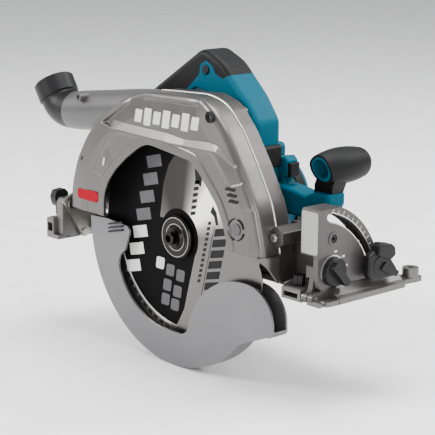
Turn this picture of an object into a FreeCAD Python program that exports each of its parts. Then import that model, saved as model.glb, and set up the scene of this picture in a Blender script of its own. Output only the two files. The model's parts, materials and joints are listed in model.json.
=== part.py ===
import FreeCAD, Part
import math
import os

# Circular saw, battery powered, with a 270 mm blade. Millimetres.
# +X is the cutting direction, +Y the motor side, +Z up.
# The origin lies on the sole plane, directly under the arbor, in the plane of the blade.

V = FreeCAD.Vector
X_AXIS = V(1, 0, 0)
Y_AXIS = V(0, 1, 0)
Z_AXIS = V(0, 0, 1)

# Driving dimensions -------------------------------------------------------------------
ARBOR_Z = 34.0              # arbor height above the sole with the saw at full depth
BLADE_R = 135.0
BLADE_T = 1.6
KERF = 2.2
BLADE_BORE_R = 15.0
TEETH = 24

GUARD_R = 144.0             # lower guard, outer radius of its rim
GUARD_Y = 11.0              # half the width of the lower guard
GUARD_T = 2.5
HUB_R = 26.0                # bearing retainer nose on which the guard turns

COVER_FRONT_Y = -24.0       # outer face of the upper cover
PARTING_Y = 4.0             # where the cover meets the blade case
CASE_BACK_Y = 28.0          # motor-side face of the blade case
COVER_EDGE_Z = 42.0         # lower edge of the upper cover
BELOW_COVER_Z = -10.0       # the shared outline runs on below that edge
TOE_X = 118.0               # from here forward the wall reaches further down, to TOE_Z
TOE_Z = 13.5
CROWN_SCREW = (72.0, 177.0)
WALL = 3.0

MODULE = 1.5                # gear pair
PINION_TEETH = 11
GEAR_TEETH = 38
PRESSURE_ANGLE = math.radians(20)
MOTOR_X = 18.0
CENTRE_DISTANCE = MODULE * (PINION_TEETH + GEAR_TEETH) / 2
MOTOR_Z = ARBOR_Z + math.sqrt(CENTRE_DISTANCE ** 2 - MOTOR_X ** 2)
MOTOR_R = 47.0
GEARBOX_Y = 57.0            # where the gear housing meets the motor housing
MOTOR_END_Y = 138.0
LOCK_PIN_Y = 44.0           # spindle lock, parallel to X at arbor height

BEVEL_Y = 4.0               # bevel axis, parallel to X
BEVEL_Z = 6.0
BEVEL_SLOT_R = 84.0
BEVEL_REST = math.radians(17)
QUADRANT_X0 = 196.0
QUADRANT_X1 = 202.0
TILT_X0 = 188.5
TILT_X1 = 194.5
STOP_KNOB = (28.0, 31.3)
BOSS_SCREW = (28.5, 65.0)
RIM_R = 96.5                # outer radius of the front quadrant about the bevel axis
RIM_TOP_Z = 96.0
REAR_TILT_X0 = -180.5
REAR_TILT_X1 = -175.5
REAR_BOLT = (-15.0, 43.0)

PIVOT_X = 153.0             # depth pivot, parallel to Y
PIVOT_Z = 62.0
PIVOT_FACE_Y = -4.0
DEPTH_ARC_R = 222.0
DEPTH_RANGE = 30.0          # degrees
RAIL_Y0 = 29.5
RAIL_Y1 = 32.5

BASE_T = 5.0
BASE_LEFT_Y = 124.0
BASE_INNER_Y = 34.0
BASE_FRONT_X = 217.0
BASE_REAR_X = -206.0

HANDLE_Y0 = 34.0
HANDLE_Y1 = 72.0
HANDLE_MID_Y = (HANDLE_Y0 + HANDLE_Y1) / 2
TRIGGER_X = 17.0            # trigger pivot and lock-off button, both parallel to Y
TRIGGER_Z = 194.0
LOCK_X = 3.0
LOCK_Z = 214.0

GRIP_X = 150.0              # front grip, axis parallel to Y
GRIP_Z = 124.0
GRIP_Y0 = 60.0
GRIP_Y1 = 130.0
GRIP_R = 19.4
ARM_Y0 = 66.0               # bracket between the motor housing and the front grip
ARM_Y1 = 93.0
HORN_Y0 = 72.0              # stub beside the handle's spine, with a rubber end
HORN_Y1 = 87.0

MOUNT_Z0 = 104.5            # battery mount under the rear of the handle
MOUNT_Z1 = 124.0
MOUNT_REAR_X = -152.0
BATTERY_X0 = -160.0
BATTERY_X1 = -38.0
BATTERY_Y0 = 57.0
BATTERY_Y1 = 131.0
BATTERY_Z0 = 38.0
BATTERY_Z1 = 104.0

DUCT_Y = 2.0
DUCT_END_X = -187.0
DUCT_END_Z = 150.0
DUCT_BORE_R = 19.0

FIT = 0.05                  # radial clearance of a running fit
GAP = 0.4                   # gap between faces that move past each other

SOLE_POINT_Y = 80.0         # the part's origin lies on the sole, this far from the blade


# Basic shapes -------------------------------------------------------------------------
def box(x0, x1, y0, y1, z0, z1):
    return Part.makeBox(x1 - x0, y1 - y0, z1 - z0, V(x0, y0, z0))


def rod(radius, start, end):
    axis = end - start
    return Part.makeCylinder(radius, axis.Length, start, axis)


def rod_x(radius, x0, x1, y, z):
    return rod(radius, V(x0, y, z), V(x1, y, z))


def rod_y(radius, y0, y1, x, z):
    return rod(radius, V(x, y0, z), V(x, y1, z))


def rod_z(radius, z0, z1, x, y):
    return rod(radius, V(x, y, z0), V(x, y, z1))


def cone_y(r0, r1, y0, y1, x, z):
    return Part.makeCone(r0, r1, y1 - y0, V(x, y0, z), Y_AXIS)


def polar(centre_x, centre_z, radius, degrees):
    angle = math.radians(degrees)
    return (centre_x + radius * math.cos(angle), centre_z + radius * math.sin(angle))


def edges_of(outline, place):
    """Lines between (u, v) points; an entry ("arc", mid, end) is a circular arc."""
    edges = []
    last = place(*outline[0])
    first = last
    for item in outline[1:]:
        if item[0] == "arc":
            mid = place(*item[1])
            end = place(*item[2])
            edges.append(Part.Arc(last, mid, end).toShape())
        else:
            end = place(*item)
            edges.append(Part.makeLine(last, end))
        last = end
    if last.distanceToPoint(first) > 1e-6:
        edges.append(Part.makeLine(last, first))
    return edges


def slab_y(outline, y0, y1):
    """Solid between y0 and y1 with an outline of (x, z) points."""
    wire = Part.Wire(edges_of(outline, lambda x, z: V(x, y0, z)))
    return Part.Face(wire).extrude(V(0, y1 - y0, 0))


def slab_x(outline, x0, x1):
    """Solid between x0 and x1 with an outline of (y, z) points."""
    wire = Part.Wire(edges_of(outline, lambda y, z: V(x0, y, z)))
    return Part.Face(wire).extrude(V(x1 - x0, 0, 0))


def slab_z(outline, z0, z1):
    """Solid between z0 and z1 with an outline of (x, y) points."""
    wire = Part.Wire(edges_of(outline, lambda x, y: V(x, y, z0)))
    return Part.Face(wire).extrude(V(0, 0, z1 - z0))


def loft_y(outline_a, y_a, outline_b, y_b):
    """Solid that changes from one (x, z) outline to another with as many points."""
    wires = []
    for outline, y in ((outline_a, y_a), (outline_b, y_b)):
        wires.append(Part.Wire(edges_of(outline, lambda x, z: V(x, y, z))))
    return Part.makeLoft(wires, True, True)


def inset_slab_y(outline, inset, y0, y1):
    """slab_y of the outline moved inwards by inset."""
    wire = Part.Wire(edges_of(outline, lambda x, z: V(x, y0, z)))
    return Part.Face(wire.makeOffset2D(-inset)).extrude(V(0, y1 - y0, 0))


def rounded(points, radius):
    """Outline through the points with every corner turned into an arc.

    A point may carry its own corner radius as a third number.
    """
    outline = []
    count = len(points)
    for i in range(count):
        corner_r = points[i][2] if len(points[i]) > 2 else radius
        here = V(points[i][0], points[i][1], 0)
        before = V(points[i - 1][0], points[i - 1][1], 0) - here
        after = V(points[(i + 1) % count][0], points[(i + 1) % count][1], 0) - here
        half = before.getAngle(after) / 2
        reach = min(corner_r / math.tan(half), 0.49 * before.Length, 0.49 * after.Length)
        turn = reach * math.tan(half)
        before.normalize()
        after.normalize()
        start = here + before * reach
        end = here + after * reach
        centre_way = (before + after).normalize()
        mid = here + centre_way * (turn / math.sin(half) - turn)
        if outline:
            outline.append((start.x, start.y))
        else:
            outline = [(start.x, start.y)]
        outline.append(("arc", (mid.x, mid.y), (end.x, end.y)))
    return outline


def soften(shape, radius, wanted):
    """Fillet the edges for which wanted(edge) holds."""
    return shape.makeFillet(radius, [e for e in shape.Edges if wanted(e)])


def bevel(shape, size, wanted):
    """Chamfer the edges for which wanted(edge) holds."""
    return shape.makeChamfer(size, [e for e in shape.Edges if wanted(e)])


def in_plane_y(y):
    return lambda e: abs(e.BoundBox.YMin - y) < 1e-4 and abs(e.BoundBox.YMax - y) < 1e-4


def in_plane_x(x):
    return lambda e: abs(e.BoundBox.XMin - x) < 1e-4 and abs(e.BoundBox.XMax - x) < 1e-4


def in_plane_z(z):
    return lambda e: abs(e.BoundBox.ZMin - z) < 1e-4 and abs(e.BoundBox.ZMax - z) < 1e-4


def ring_y(outer, inner, y0, y1, x, z):
    return rod_y(outer, y0, y1, x, z).cut(rod_y(inner, y0 - 1, y1 + 1, x, z))


def fuse(first, *others):
    return first.fuse(list(others)).removeSplitter()


def group(shapes):
    return Part.makeCompound(shapes)


def largest(shape):
    """The main solid of a shape that a cut has split."""
    return sorted(shape.Solids, key=lambda s: s.Volume)[-1]


def hexagon(across_flats, centre_u, centre_v, turn=0):
    corner = across_flats / math.sqrt(3)
    return [polar(centre_u, centre_v, corner, turn + 60 * i) for i in range(6)]


# Outlines shared by the cover, the case and the duct ------------------------------------
COVER_OUTLINE = rounded([
    (-170, BELOW_COVER_Z, 12), (-169.5, 66), (-159, 99), (-140, 130), (-113, 156), (-72, 180),
    (-34, 191), (46, 195, 30), (72, 187, 30), (95, 163), (117, 130), (139, 92), (151, 48),
    (151, BELOW_COVER_Z, 12),
], 80)


def above_cover_edge(shape):
    """The part of a shape above the cover's lower edge, which slants down at the front."""
    shape = shape.cut(box(-250, TOE_X, -60, 200, -200, COVER_EDGE_Z))
    slant = slab_x([(-60, COVER_EDGE_Z), (COVER_FRONT_Y, COVER_EDGE_Z), (-1, TOE_Z),
                    (60, TOE_Z), (60, -200), (-60, -200)], TOE_X, 250)
    return shape.cut(slant)


def cover_body():
    """Outside of the cover before it is hollowed, with the bevel round its face."""
    shell = slab_y(COVER_OUTLINE, COVER_FRONT_Y, PARTING_Y)
    return above_cover_edge(bevel(shell, 7.0, in_plane_y(COVER_FRONT_Y)))


def case_body():
    """Outside of the blade case's rim before it is hollowed."""
    wall = slab_y(COVER_OUTLINE, PARTING_Y, CASE_BACK_Y)
    return above_cover_edge(bevel(wall, 5.0, in_plane_y(CASE_BACK_Y)))


def duct_loft(thinner):
    """Round duct from the rear of the cover's crown to the nozzle's socket."""
    stations = [(DUCT_END_X, DUCT_END_Z, 22.0), (-150, 154.5, 23.0), (-112, 160, 22.5),
                (-75, 166, 21.5), (-35, 172.5, 18.5)]
    wires = []
    for x, z, radius in stations:
        circle = Part.makeCircle(radius - thinner, V(x, DUCT_Y, z), X_AXIS)
        wires.append(Part.Wire(circle))
    return Part.makeLoft(wires, True)


# Blade cover and blade case -------------------------------------------------------------
def window_outline():
    """Opening in the cover's face through which the blade and its bolt are reached."""
    return [
        (-105, COVER_EDGE_Z - 10),
        (-104, 66),
        ("arc", (-83, 98), (-43, 128)),
        ("arc", (-33, 133), (-22, 134.5)),
        (36, 127.5),
        ("arc", (45, 126), (53, 120)),
        ("arc", (84, 87), (100, 49)),
        (103, COVER_EDGE_Z - 10),
    ]


def blade_cover():
    shell = cover_body()
    shell = shell.cut(inset_slab_y(COVER_OUTLINE, WALL, COVER_FRONT_Y + 6.5, PARTING_Y + 1))
    shell = shell.cut(slab_y(window_outline(), COVER_FRONT_Y - 1, COVER_FRONT_Y + 8))
    # name panel: a shallow sloping recess over the window
    panel_top = [(-112, 141), (-60, 172), (-24, 183), (58, 186), (92, 140), (48, 131), (-30, 139)]
    panel_low = [(-104, 142), (-58, 169), (-23, 180), (56, 182), (84, 143), (47, 137), (-30, 145)]
    shell = shell.cut(loft_y(panel_top, COVER_FRONT_Y - 0.01, panel_low, COVER_FRONT_Y + 3))
    # boss round the crown screw
    boss_x, boss_z = CROWN_SCREW
    boss = rod_y(6.5, COVER_FRONT_Y, PARTING_Y, boss_x, boss_z)
    inner_port = duct_loft(2.5)
    shell = fuse(shell, boss).cut(inner_port)
    shell = shell.cut(rod_y(4.2, COVER_FRONT_Y - 1, COVER_FRONT_Y + 5, boss_x, boss_z))
    shell = shell.cut(rod_y(2.1, COVER_FRONT_Y, PARTING_Y + 1, boss_x, boss_z))
    return shell.removeSplitter()


def case_plate_outline():
    return [
        (-170, COVER_EDGE_Z),
        (-122, 14),
        (-62, 6),
        (138, 6),
        (150.5, 14),
        (150.5, COVER_EDGE_Z),
    ]


def blade_case():
    wall = case_body()
    wall = wall.cut(inset_slab_y(COVER_OUTLINE, WALL, PARTING_Y - 1, CASE_BACK_Y - 3))
    apron = slab_y(case_plate_outline(), CASE_BACK_Y - 6, CASE_BACK_Y)
    apron = apron.cut(inset_slab_y(case_plate_outline(), 5, CASE_BACK_Y - 7, CASE_BACK_Y - 3))
    lug = slab_y(rounded(hexagon(20, PIVOT_X, PIVOT_Z, 30), 2), PIVOT_FACE_Y, CASE_BACK_Y + 1)
    lug = lug.cut(cover_body())
    chamber = gear_chamber(CASE_BACK_Y, GEARBOX_Y - 5)
    chamber = chamber.cut(gear_cavity(CASE_BACK_Y + 3, GEARBOX_Y - 4))
    boss_x, boss_z = CROWN_SCREW
    boss = rod_y(6.5, PARTING_Y, CASE_BACK_Y - 2, boss_x, boss_z)
    bearing_seat = rod_y(21, CASE_BACK_Y, CASE_BACK_Y + 9, 0, ARBOR_Z)
    case = fuse(wall, apron, lug, chamber, boss, bearing_seat)
    # seats of the spindle's front bearing and of the motor shaft's front bearing
    case = case.cut(rod_y(33, 0, CASE_BACK_Y - 3, 0, ARBOR_Z))
    case = case.cut(rod_y(17.5, CASE_BACK_Y - 4, CASE_BACK_Y + 10, 0, ARBOR_Z))
    case = case.cut(rod_y(2.05, PARTING_Y - 1, PARTING_Y + 12, boss_x, boss_z))
    case = case.cut(rod_y(4.0, PIVOT_FACE_Y - 1, 60, PIVOT_X, PIVOT_Z))
    case = case.cut(rod_y(4.0, 0, 60, *depth_bolt_place()))
    case = case.cut(rod_x(3 + FIT, -60, -28, LOCK_PIN_Y, ARBOR_Z))
    case = case.cut(duct_loft(2.5))
    return case.removeSplitter()


def gear_chamber(y0, y1):
    wheel = rod_y(33, y0, y1, 0, ARBOR_Z)
    wheel = wheel.cut(box(-40, 40, y0 - 1, y1 + 1, -10, 1.6))
    return fuse(wheel, rod_y(38, y0, y1, MOTOR_X, MOTOR_Z))


def gear_cavity(y0, y1):
    return fuse(rod_y(30.5, y0, y1, 0, ARBOR_Z), rod_y(16, y0, y1, MOTOR_X, MOTOR_Z))


def cover_screws():
    screws = []
    x, z = CROWN_SCREW
    head = rod_y(4.1, COVER_FRONT_Y + 1.5, COVER_FRONT_Y + 5, x, z)
    head = head.cut(slab_y(hexagon(4, x, z), COVER_FRONT_Y, COVER_FRONT_Y + 3.5))
    screws.append(fuse(head, rod_y(2, COVER_FRONT_Y + 5, PARTING_Y + 10, x, z)))
    screws.append(duct_screw())
    return group(screws)


def dust_duct():
    duct = duct_loft(0).cut(duct_loft(2.5))
    bore = rod_x(DUCT_BORE_R, DUCT_END_X - 1, DUCT_END_X + 14, DUCT_Y, DUCT_END_Z)
    duct = duct.cut(bore)
    duct = duct.cut(cover_body()).cut(case_body())
    lug = rod_y(5, DUCT_Y - 25, DUCT_Y - 12, -150, 172)
    lug = lug.cut(duct_loft(2.5))
    return fuse(largest(duct), lug).cut(rod_y(2.6, DUCT_Y - 26, DUCT_Y - 22, -150, 172))


def duct_screw():
    """Slotted screw that ties the duct to the case."""
    head = rod_y(2.5, DUCT_Y - 24.4, DUCT_Y - 22, -150, 172)
    return head.cut(box(-153, -147, DUCT_Y - 25, DUCT_Y - 23.6, 171.6, 172.4))


def dust_nozzle():
    """Elbow that turns in the duct's socket: spigot, bend and hose cuff."""
    bend_r = 26.0
    turn = 56.0
    start_x = DUCT_END_X - 10
    collar = rod_x(22, start_x, DUCT_END_X - GAP, DUCT_Y, DUCT_END_Z)
    spigot = rod_x(DUCT_BORE_R - FIT, DUCT_END_X - GAP, DUCT_END_X + 12, DUCT_Y, DUCT_END_Z)
    disc = Part.Face(Part.Wire(Part.makeCircle(22, V(start_x, DUCT_Y, DUCT_END_Z), X_AXIS)))
    hinge = V(start_x, DUCT_Y, DUCT_END_Z + bend_r)
    elbow = disc.revolve(hinge, Y_AXIS, turn)
    hole = Part.Face(Part.Wire(Part.makeCircle(18, V(start_x, DUCT_Y, DUCT_END_Z), X_AXIS)))
    hollow = hole.revolve(hinge, Y_AXIS, turn)
    angle = math.radians(turn)
    way = V(-math.cos(angle), 0, math.sin(angle))
    end = hinge + V(-bend_r * math.sin(angle), 0, -bend_r * math.cos(angle))
    cuff = rod(24, end, end + way * 22)
    cuff = bevel(cuff, 1.5, lambda e: e.Curve.TypeId == "Part::GeomCircle")
    body = fuse(collar, spigot, elbow, cuff)
    body = body.cut(hollow)
    body = body.cut(rod(20, end, end + way * 30))
    return body.cut(rod_x(16.5, start_x, DUCT_END_X + 20, DUCT_Y, DUCT_END_Z))


# Lower guard ----------------------------------------------------------------------------
def guard_outline():
    """Near plate of the lower guard with its front lobe and its rear thumb tab."""
    lowest = (0, ARBOR_Z - GUARD_R)
    return [
        (-GUARD_R, ARBOR_Z),
        (-112, 35.5),
        (-80, 33),
        ("arc", (-74.5, 29), (-75.5, 22)),
        (-82, 4),
        ("arc", (-93, -9), (-93, -20)),
        ("arc", (-66, -54), (-12, -72)),
        (10, -72),
        ("arc", (20, -69.5), (26, -62)),
        ("arc", (46, -23), (84, 2)),
        ("arc", (104, 6), (130, 4)),
        ("arc", (150, -10), (157, -34)),
        ("arc", (156, -41), (149, -44)),
        polar(0, ARBOR_Z, GUARD_R, -41),
        ("arc", lowest, (-GUARD_R, ARBOR_Z)),
    ]


def lower_guard():
    near = slab_y(guard_outline(), -GUARD_Y, -GUARD_Y + GUARD_T)
    solid = slab_y(guard_outline(), -GUARD_Y, GUARD_Y)
    rim = solid.cut(inset_slab_y(guard_outline(), GUARD_T, -GUARD_Y - 1, GUARD_Y + 1))
    # the rim follows only the outer edge, from the rear to the underside of the lobe
    keep = solid.cut(rod_y(GUARD_R - GUARD_T - 0.1, -GUARD_Y - 1, GUARD_Y + 1, 0, ARBOR_Z))
    keep = keep.fuse(slab_y([(100, -60), (156, -50), (156.9, -38), (100, -48)],
                            -GUARD_Y, GUARD_Y))
    rim = rim.common(keep).cut(box(100, 200, -20, 20, -37, 60))
    rim = rim.cut(box(-160, -60, -20, 20, ARBOR_Z - 6, 60))
    hub_outer = 31.0
    far = slab_y(guard_outline(), GUARD_Y - GUARD_T, GUARD_Y)
    spokes = slab_y([(-60, -60), (-28, 40), (28, 20), (24, -66)], GUARD_Y - GUARD_T, GUARD_Y)
    hub = rod_y(hub_outer, GUARD_Y - GUARD_T, GUARD_Y + 5, 0, ARBOR_Z)
    guard = fuse(near, rim, far, spokes, hub)
    guard = guard.cut(rod_y(HUB_R + FIT, 0, GUARD_Y + 10, 0, ARBOR_Z))
    return guard.removeSplitter()


def guard_thumb_pad():
    """Three raised ribs along the top of the guard's rear tab, for the thumb."""
    ribs = []
    for i in range(3):
        z = 20 + 4.5 * i
        rib = slab_y(rounded([(-110, z), (-85, z + 6), (-84, z + 8.4), (-109, z + 2.4)], 0.8),
                     -GUARD_Y - 2.5, -GUARD_Y)
        ribs.append(rib)
    return group(ribs)


def bearing_retainer():
    """Ring that holds the front spindle bearing; its nose carries the guard's hub."""
    flange = rod_y(32.5, CASE_BACK_Y - 9, CASE_BACK_Y - 3, 0, ARBOR_Z)
    nose = rod_y(HUB_R, GUARD_Y - GUARD_T, CASE_BACK_Y - 8, 0, ARBOR_Z)
    return fuse(flange, nose).cut(rod_y(12, 0, 40, 0, ARBOR_Z))


def guard_spring():
    """Flat coil spring round the retainer that closes the guard."""
    return ring_y(31.5, 27.5, GUARD_Y + 5 + GAP, CASE_BACK_Y - 9, 0, ARBOR_Z)


# Blade and arbor ------------------------------------------------------------------------
def blade():
    root_r = BLADE_R - 9
    outline = []
    pitch = 360.0 / TEETH
    for i in range(TEETH):
        a = i * pitch
        outline.append(polar(0, ARBOR_Z, BLADE_R - 1.0, a))
        outline.append(polar(0, ARBOR_Z, BLADE_R - 3.0, a + pitch * 0.42))
        outline.append(polar(0, ARBOR_Z, root_r + 2.5, a + pitch * 0.66))
        outline.append(("arc", polar(0, ARBOR_Z, root_r, a + pitch * 0.80),
                        polar(0, ARBOR_Z, root_r + 2.5, a + pitch * 0.96)))
    disc = slab_y(outline, -BLADE_T / 2, BLADE_T / 2)
    disc = disc.cut(rod_y(BLADE_BORE_R, -5, 5, 0, ARBOR_Z))
    slots = 4
    for i in range(slots):
        a = (i * TEETH // slots + 0.80) * pitch
        hole_x, hole_z = polar(0, ARBOR_Z, 106, a)
        tip_x, tip_z = polar(0, ARBOR_Z, BLADE_R, a)
        disc = disc.cut(rod_y(2.6, -5, 5, hole_x, hole_z))
        way = V(tip_x - hole_x, 0, tip_z - hole_z).normalize()
        side = way.cross(Y_AXIS) * 0.5
        corners = [V(hole_x, 0, hole_z) + side, V(hole_x, 0, hole_z) - side,
                   V(tip_x, 0, tip_z) - side, V(tip_x, 0, tip_z) + side]
        disc = disc.cut(slab_y([(c.x, c.z) for c in corners], -5, 5))
    return disc


def blade_tips():
    """Carbide tips brazed to the leading face of each tooth."""
    tips = []
    pitch = 360.0 / TEETH
    first = slab_y([
        polar(0, ARBOR_Z, BLADE_R, 0.0),
        polar(0, ARBOR_Z, BLADE_R - 0.4, -1.0),
        polar(0, ARBOR_Z, BLADE_R - 7.6, -1.0),
        polar(0, ARBOR_Z, BLADE_R - 7.4, -0.06 * pitch + 0.85),
    ], -KERF / 2, KERF / 2)
    solid_blade = blade()
    first = first.cut(solid_blade)
    first = largest(first)
    for i in range(TEETH):
        tip = first.copy()
        tip.rotate(V(0, 0, ARBOR_Z), Y_AXIS, -i * pitch)
        tips.append(tip)
    return group(tips)


def inner_flange():
    flange = rod_y(22, BLADE_T / 2, 5.5, 0, ARBOR_Z)
    spigot = rod_y(BLADE_BORE_R - FIT, -BLADE_T / 2, BLADE_T / 2, 0, ARBOR_Z)
    return fuse(flange, spigot).cut(rod_y(8 + FIT, -5, 10, 0, ARBOR_Z))


def outer_flange():
    disc = rod_y(24, -7, -BLADE_T / 2 - 0.05, 0, ARBOR_Z)
    disc = bevel(disc, 2.0, in_plane_y(-7.0))
    collar = cone_y(11, 14, -10, -7, 0, ARBOR_Z)
    return fuse(disc, collar).cut(rod_y(4.1, -20, 5, 0, ARBOR_Z))


def blade_bolt():
    washer = rod_y(10, -11.5, -10, 0, ARBOR_Z)
    head = rod_y(7.5, -17, -11.5, 0, ARBOR_Z)
    head = bevel(head, 0.8, in_plane_y(-17.0))
    head = head.cut(slab_y(hexagon(8, 0, ARBOR_Z), -18, -12.5))
    return fuse(head, washer, rod_y(4, -10, 18, 0, ARBOR_Z))


def spindle():
    """Blade spindle: nose with the blade bolt's thread, shoulder and gear seat."""
    nose = rod_y(8, 0.6, 6, 0, ARBOR_Z)
    collar = rod_y(11, 5.5, CASE_BACK_Y - 1 - GAP, 0, ARBOR_Z)
    shaft = rod_y(7.5, CASE_BACK_Y - 2, GEARBOX_Y + 7.5, 0, ARBOR_Z)
    return fuse(nose, collar, shaft).cut(rod_y(4.02, -1, 20, 0, ARBOR_Z))


def ball_bearing(outer, inner, y0, y1, x, z):
    """Both rings, the shields and the balls of a bearing as separate solids."""
    wall = (outer - inner) * 0.28
    race_out = ring_y(outer, outer - wall, y0, y1, x, z)
    race_in = ring_y(inner + wall, inner + FIT, y0, y1, x, z)
    gap = outer - inner - 2 * wall
    middle = (outer + inner) / 2
    balls = []
    count = 8
    for i in range(count):
        bx, bz = polar(x, z, middle, 360.0 * i / count)
        balls.append(Part.makeSphere(gap / 2 - 0.02, V(bx, (y0 + y1) / 2, bz)))
    return [race_out, race_in] + balls


def bearings():
    """Bearings of the spindle and of the motor shaft, front and rear of each."""
    return group(
        ball_bearing(17.5, 7.5, CASE_BACK_Y - 1, CASE_BACK_Y + 9, 0, ARBOR_Z)
        + ball_bearing(13, 7.5, GEARBOX_Y, GEARBOX_Y + 8, 0, ARBOR_Z)
        + ball_bearing(13, 5, GEARBOX_Y - 5, GEARBOX_Y + 2, MOTOR_X, MOTOR_Z)
        + ball_bearing(11, 5, 123, 130, MOTOR_X, MOTOR_Z)
    )


def gear_outline(teeth, tip_r, root_r, centre_x, centre_z, turn, thinning):
    """Straight-cut involute teeth; turn is the direction of one tooth's middle."""
    pitch_r = MODULE * teeth / 2
    base_r = pitch_r * math.cos(PRESSURE_ANGLE)
    involute = lambda r: math.sqrt(max((r / base_r) ** 2 - 1, 0)) - math.acos(min(base_r / r, 1))
    half_at_pitch = math.pi / (2 * teeth) - thinning / pitch_r
    flank_radii = []
    steps = 4
    start_r = max(base_r, root_r)
    for k in range(steps + 1):
        flank_radii.append(start_r + (tip_r - start_r) * k / steps)
    outline = []
    for i in range(teeth):
        middle = math.radians(turn) + 2 * math.pi * i / teeth
        rising = []
        for r in flank_radii:
            half = half_at_pitch + involute(pitch_r) - involute(r)
            rising.append((r, half))
        rising = [(root_r, rising[0][1])] + rising if root_r < start_r - 0.01 else rising
        for r, half in rising:
            outline.append(polar(centre_x, centre_z, r, math.degrees(middle - half)))
        for r, half in reversed(rising):
            outline.append(polar(centre_x, centre_z, r, math.degrees(middle + half)))
    return outline


def mesh_direction():
    """Direction from the arbor to the motor axis, in degrees."""
    return math.degrees(math.atan2(MOTOR_Z - ARBOR_Z, MOTOR_X))


def drive_gear():
    pitch_r = MODULE * GEAR_TEETH / 2
    outline = gear_outline(GEAR_TEETH, pitch_r + 1.0, pitch_r - 1.5, 0, ARBOR_Z,
                           mesh_direction(), 0.12)
    wheel = slab_y(outline, 38, 50)
    web = ring_y(23, 13, 47, 51, 0, ARBOR_Z)
    wheel = wheel.cut(web).cut(ring_y(23, 13, 37, 41, 0, ARBOR_Z))
    return wheel.cut(rod_y(7.5, 30, 60, 0, ARBOR_Z))


def rotor_shaft():
    pitch_r = MODULE * PINION_TEETH / 2
    half_pitch = 180.0 / PINION_TEETH
    outline = gear_outline(PINION_TEETH, pitch_r + 1.1, pitch_r - 1.4, MOTOR_X, MOTOR_Z,
                           mesh_direction() + 180 + half_pitch, 0.12)
    pinion = slab_y(outline, 37, 51)
    stub = rod_y(6, 34, 37, MOTOR_X, MOTOR_Z)
    shaft = rod_y(5, 51, 130.5, MOTOR_X, MOTOR_Z)
    return fuse(pinion, stub, shaft)


# Gear cover and motor -------------------------------------------------------------------
def gear_cover():
    """Plate between the gear chamber and the motor, with the rear bearing seats."""
    plate = gear_chamber(GEARBOX_Y - 5, GEARBOX_Y)
    seat = rod_y(17, GEARBOX_Y, GEARBOX_Y + 8.6, 0, ARBOR_Z)
    plate = fuse(plate, seat)
    plate = plate.cut(rod_y(13, GEARBOX_Y, GEARBOX_Y + 10, 0, ARBOR_Z))
    plate = plate.cut(rod_y(9, GEARBOX_Y - 6, GEARBOX_Y + 2, 0, ARBOR_Z))
    return plate.cut(rod_y(13, GEARBOX_Y - 6, GEARBOX_Y + 2, MOTOR_X, MOTOR_Z))


def rotor_core():
    core = ring_y(20, 5, 84, 112, MOTOR_X, MOTOR_Z)
    for i in range(6):
        x, z = polar(MOTOR_X, MOTOR_Z, 15, 60 * i)
        core = core.cut(rod_y(2.2, 80, 120, x, z))
    return core


def cooling_fan():
    hub = ring_y(12, 5, 67, 77, MOTOR_X, MOTOR_Z)
    plate = ring_y(37, 5, 67, 69, MOTOR_X, MOTOR_Z)
    parts = [plate]
    count = 14
    for i in range(count):
        blade_plate = box(MOTOR_X + 15, MOTOR_X + 36, 68, 77, MOTOR_Z - 0.8, MOTOR_Z + 0.8)
        blade_plate.rotate(V(MOTOR_X, 0, MOTOR_Z), Y_AXIS, 360.0 * i / count)
        parts.append(blade_plate)
    return fuse(hub, *parts)


def stator():
    yoke = ring_y(MOTOR_R - WALL, 34, 82, 114, MOTOR_X, MOTOR_Z)
    parts = []
    for i in range(6):
        tooth = box(MOTOR_X + 21, MOTOR_X + 35, 82, 114, MOTOR_Z - 4, MOTOR_Z + 4)
        tooth.rotate(V(MOTOR_X, 0, MOTOR_Z), Y_AXIS, 60.0 * i)
        parts.append(tooth)
    return fuse(yoke, *parts)


def stator_coils():
    coils = []
    for i in range(6):
        coil = box(MOTOR_X + 24, MOTOR_X + 32, 79, 117, MOTOR_Z - 8.5, MOTOR_Z + 8.5)
        coil = coil.cut(box(MOTOR_X + 23, MOTOR_X + 33, 82, 114, MOTOR_Z - 4, MOTOR_Z + 4))
        coil.rotate(V(MOTOR_X, 0, MOTOR_Z), Y_AXIS, 60.0 * i)
        coils.append(coil)
    return group(coils)


# Motor housing, handle and front grip ---------------------------------------------------


def barrel(radius, y0, y1):
    return rod_y(radius, y0, y1, MOTOR_X, MOTOR_Z)


def arm_outline():
    """Bracket that carries the front grip, seen from the side."""
    return rounded([(50, 66), (118, 66), (152, 74), (158, 84), (158, 97, 3), (136, 96, 3),
                    (124, 91, 3), (108, 94), (72, 98), (50, 110)], 7)


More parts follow.
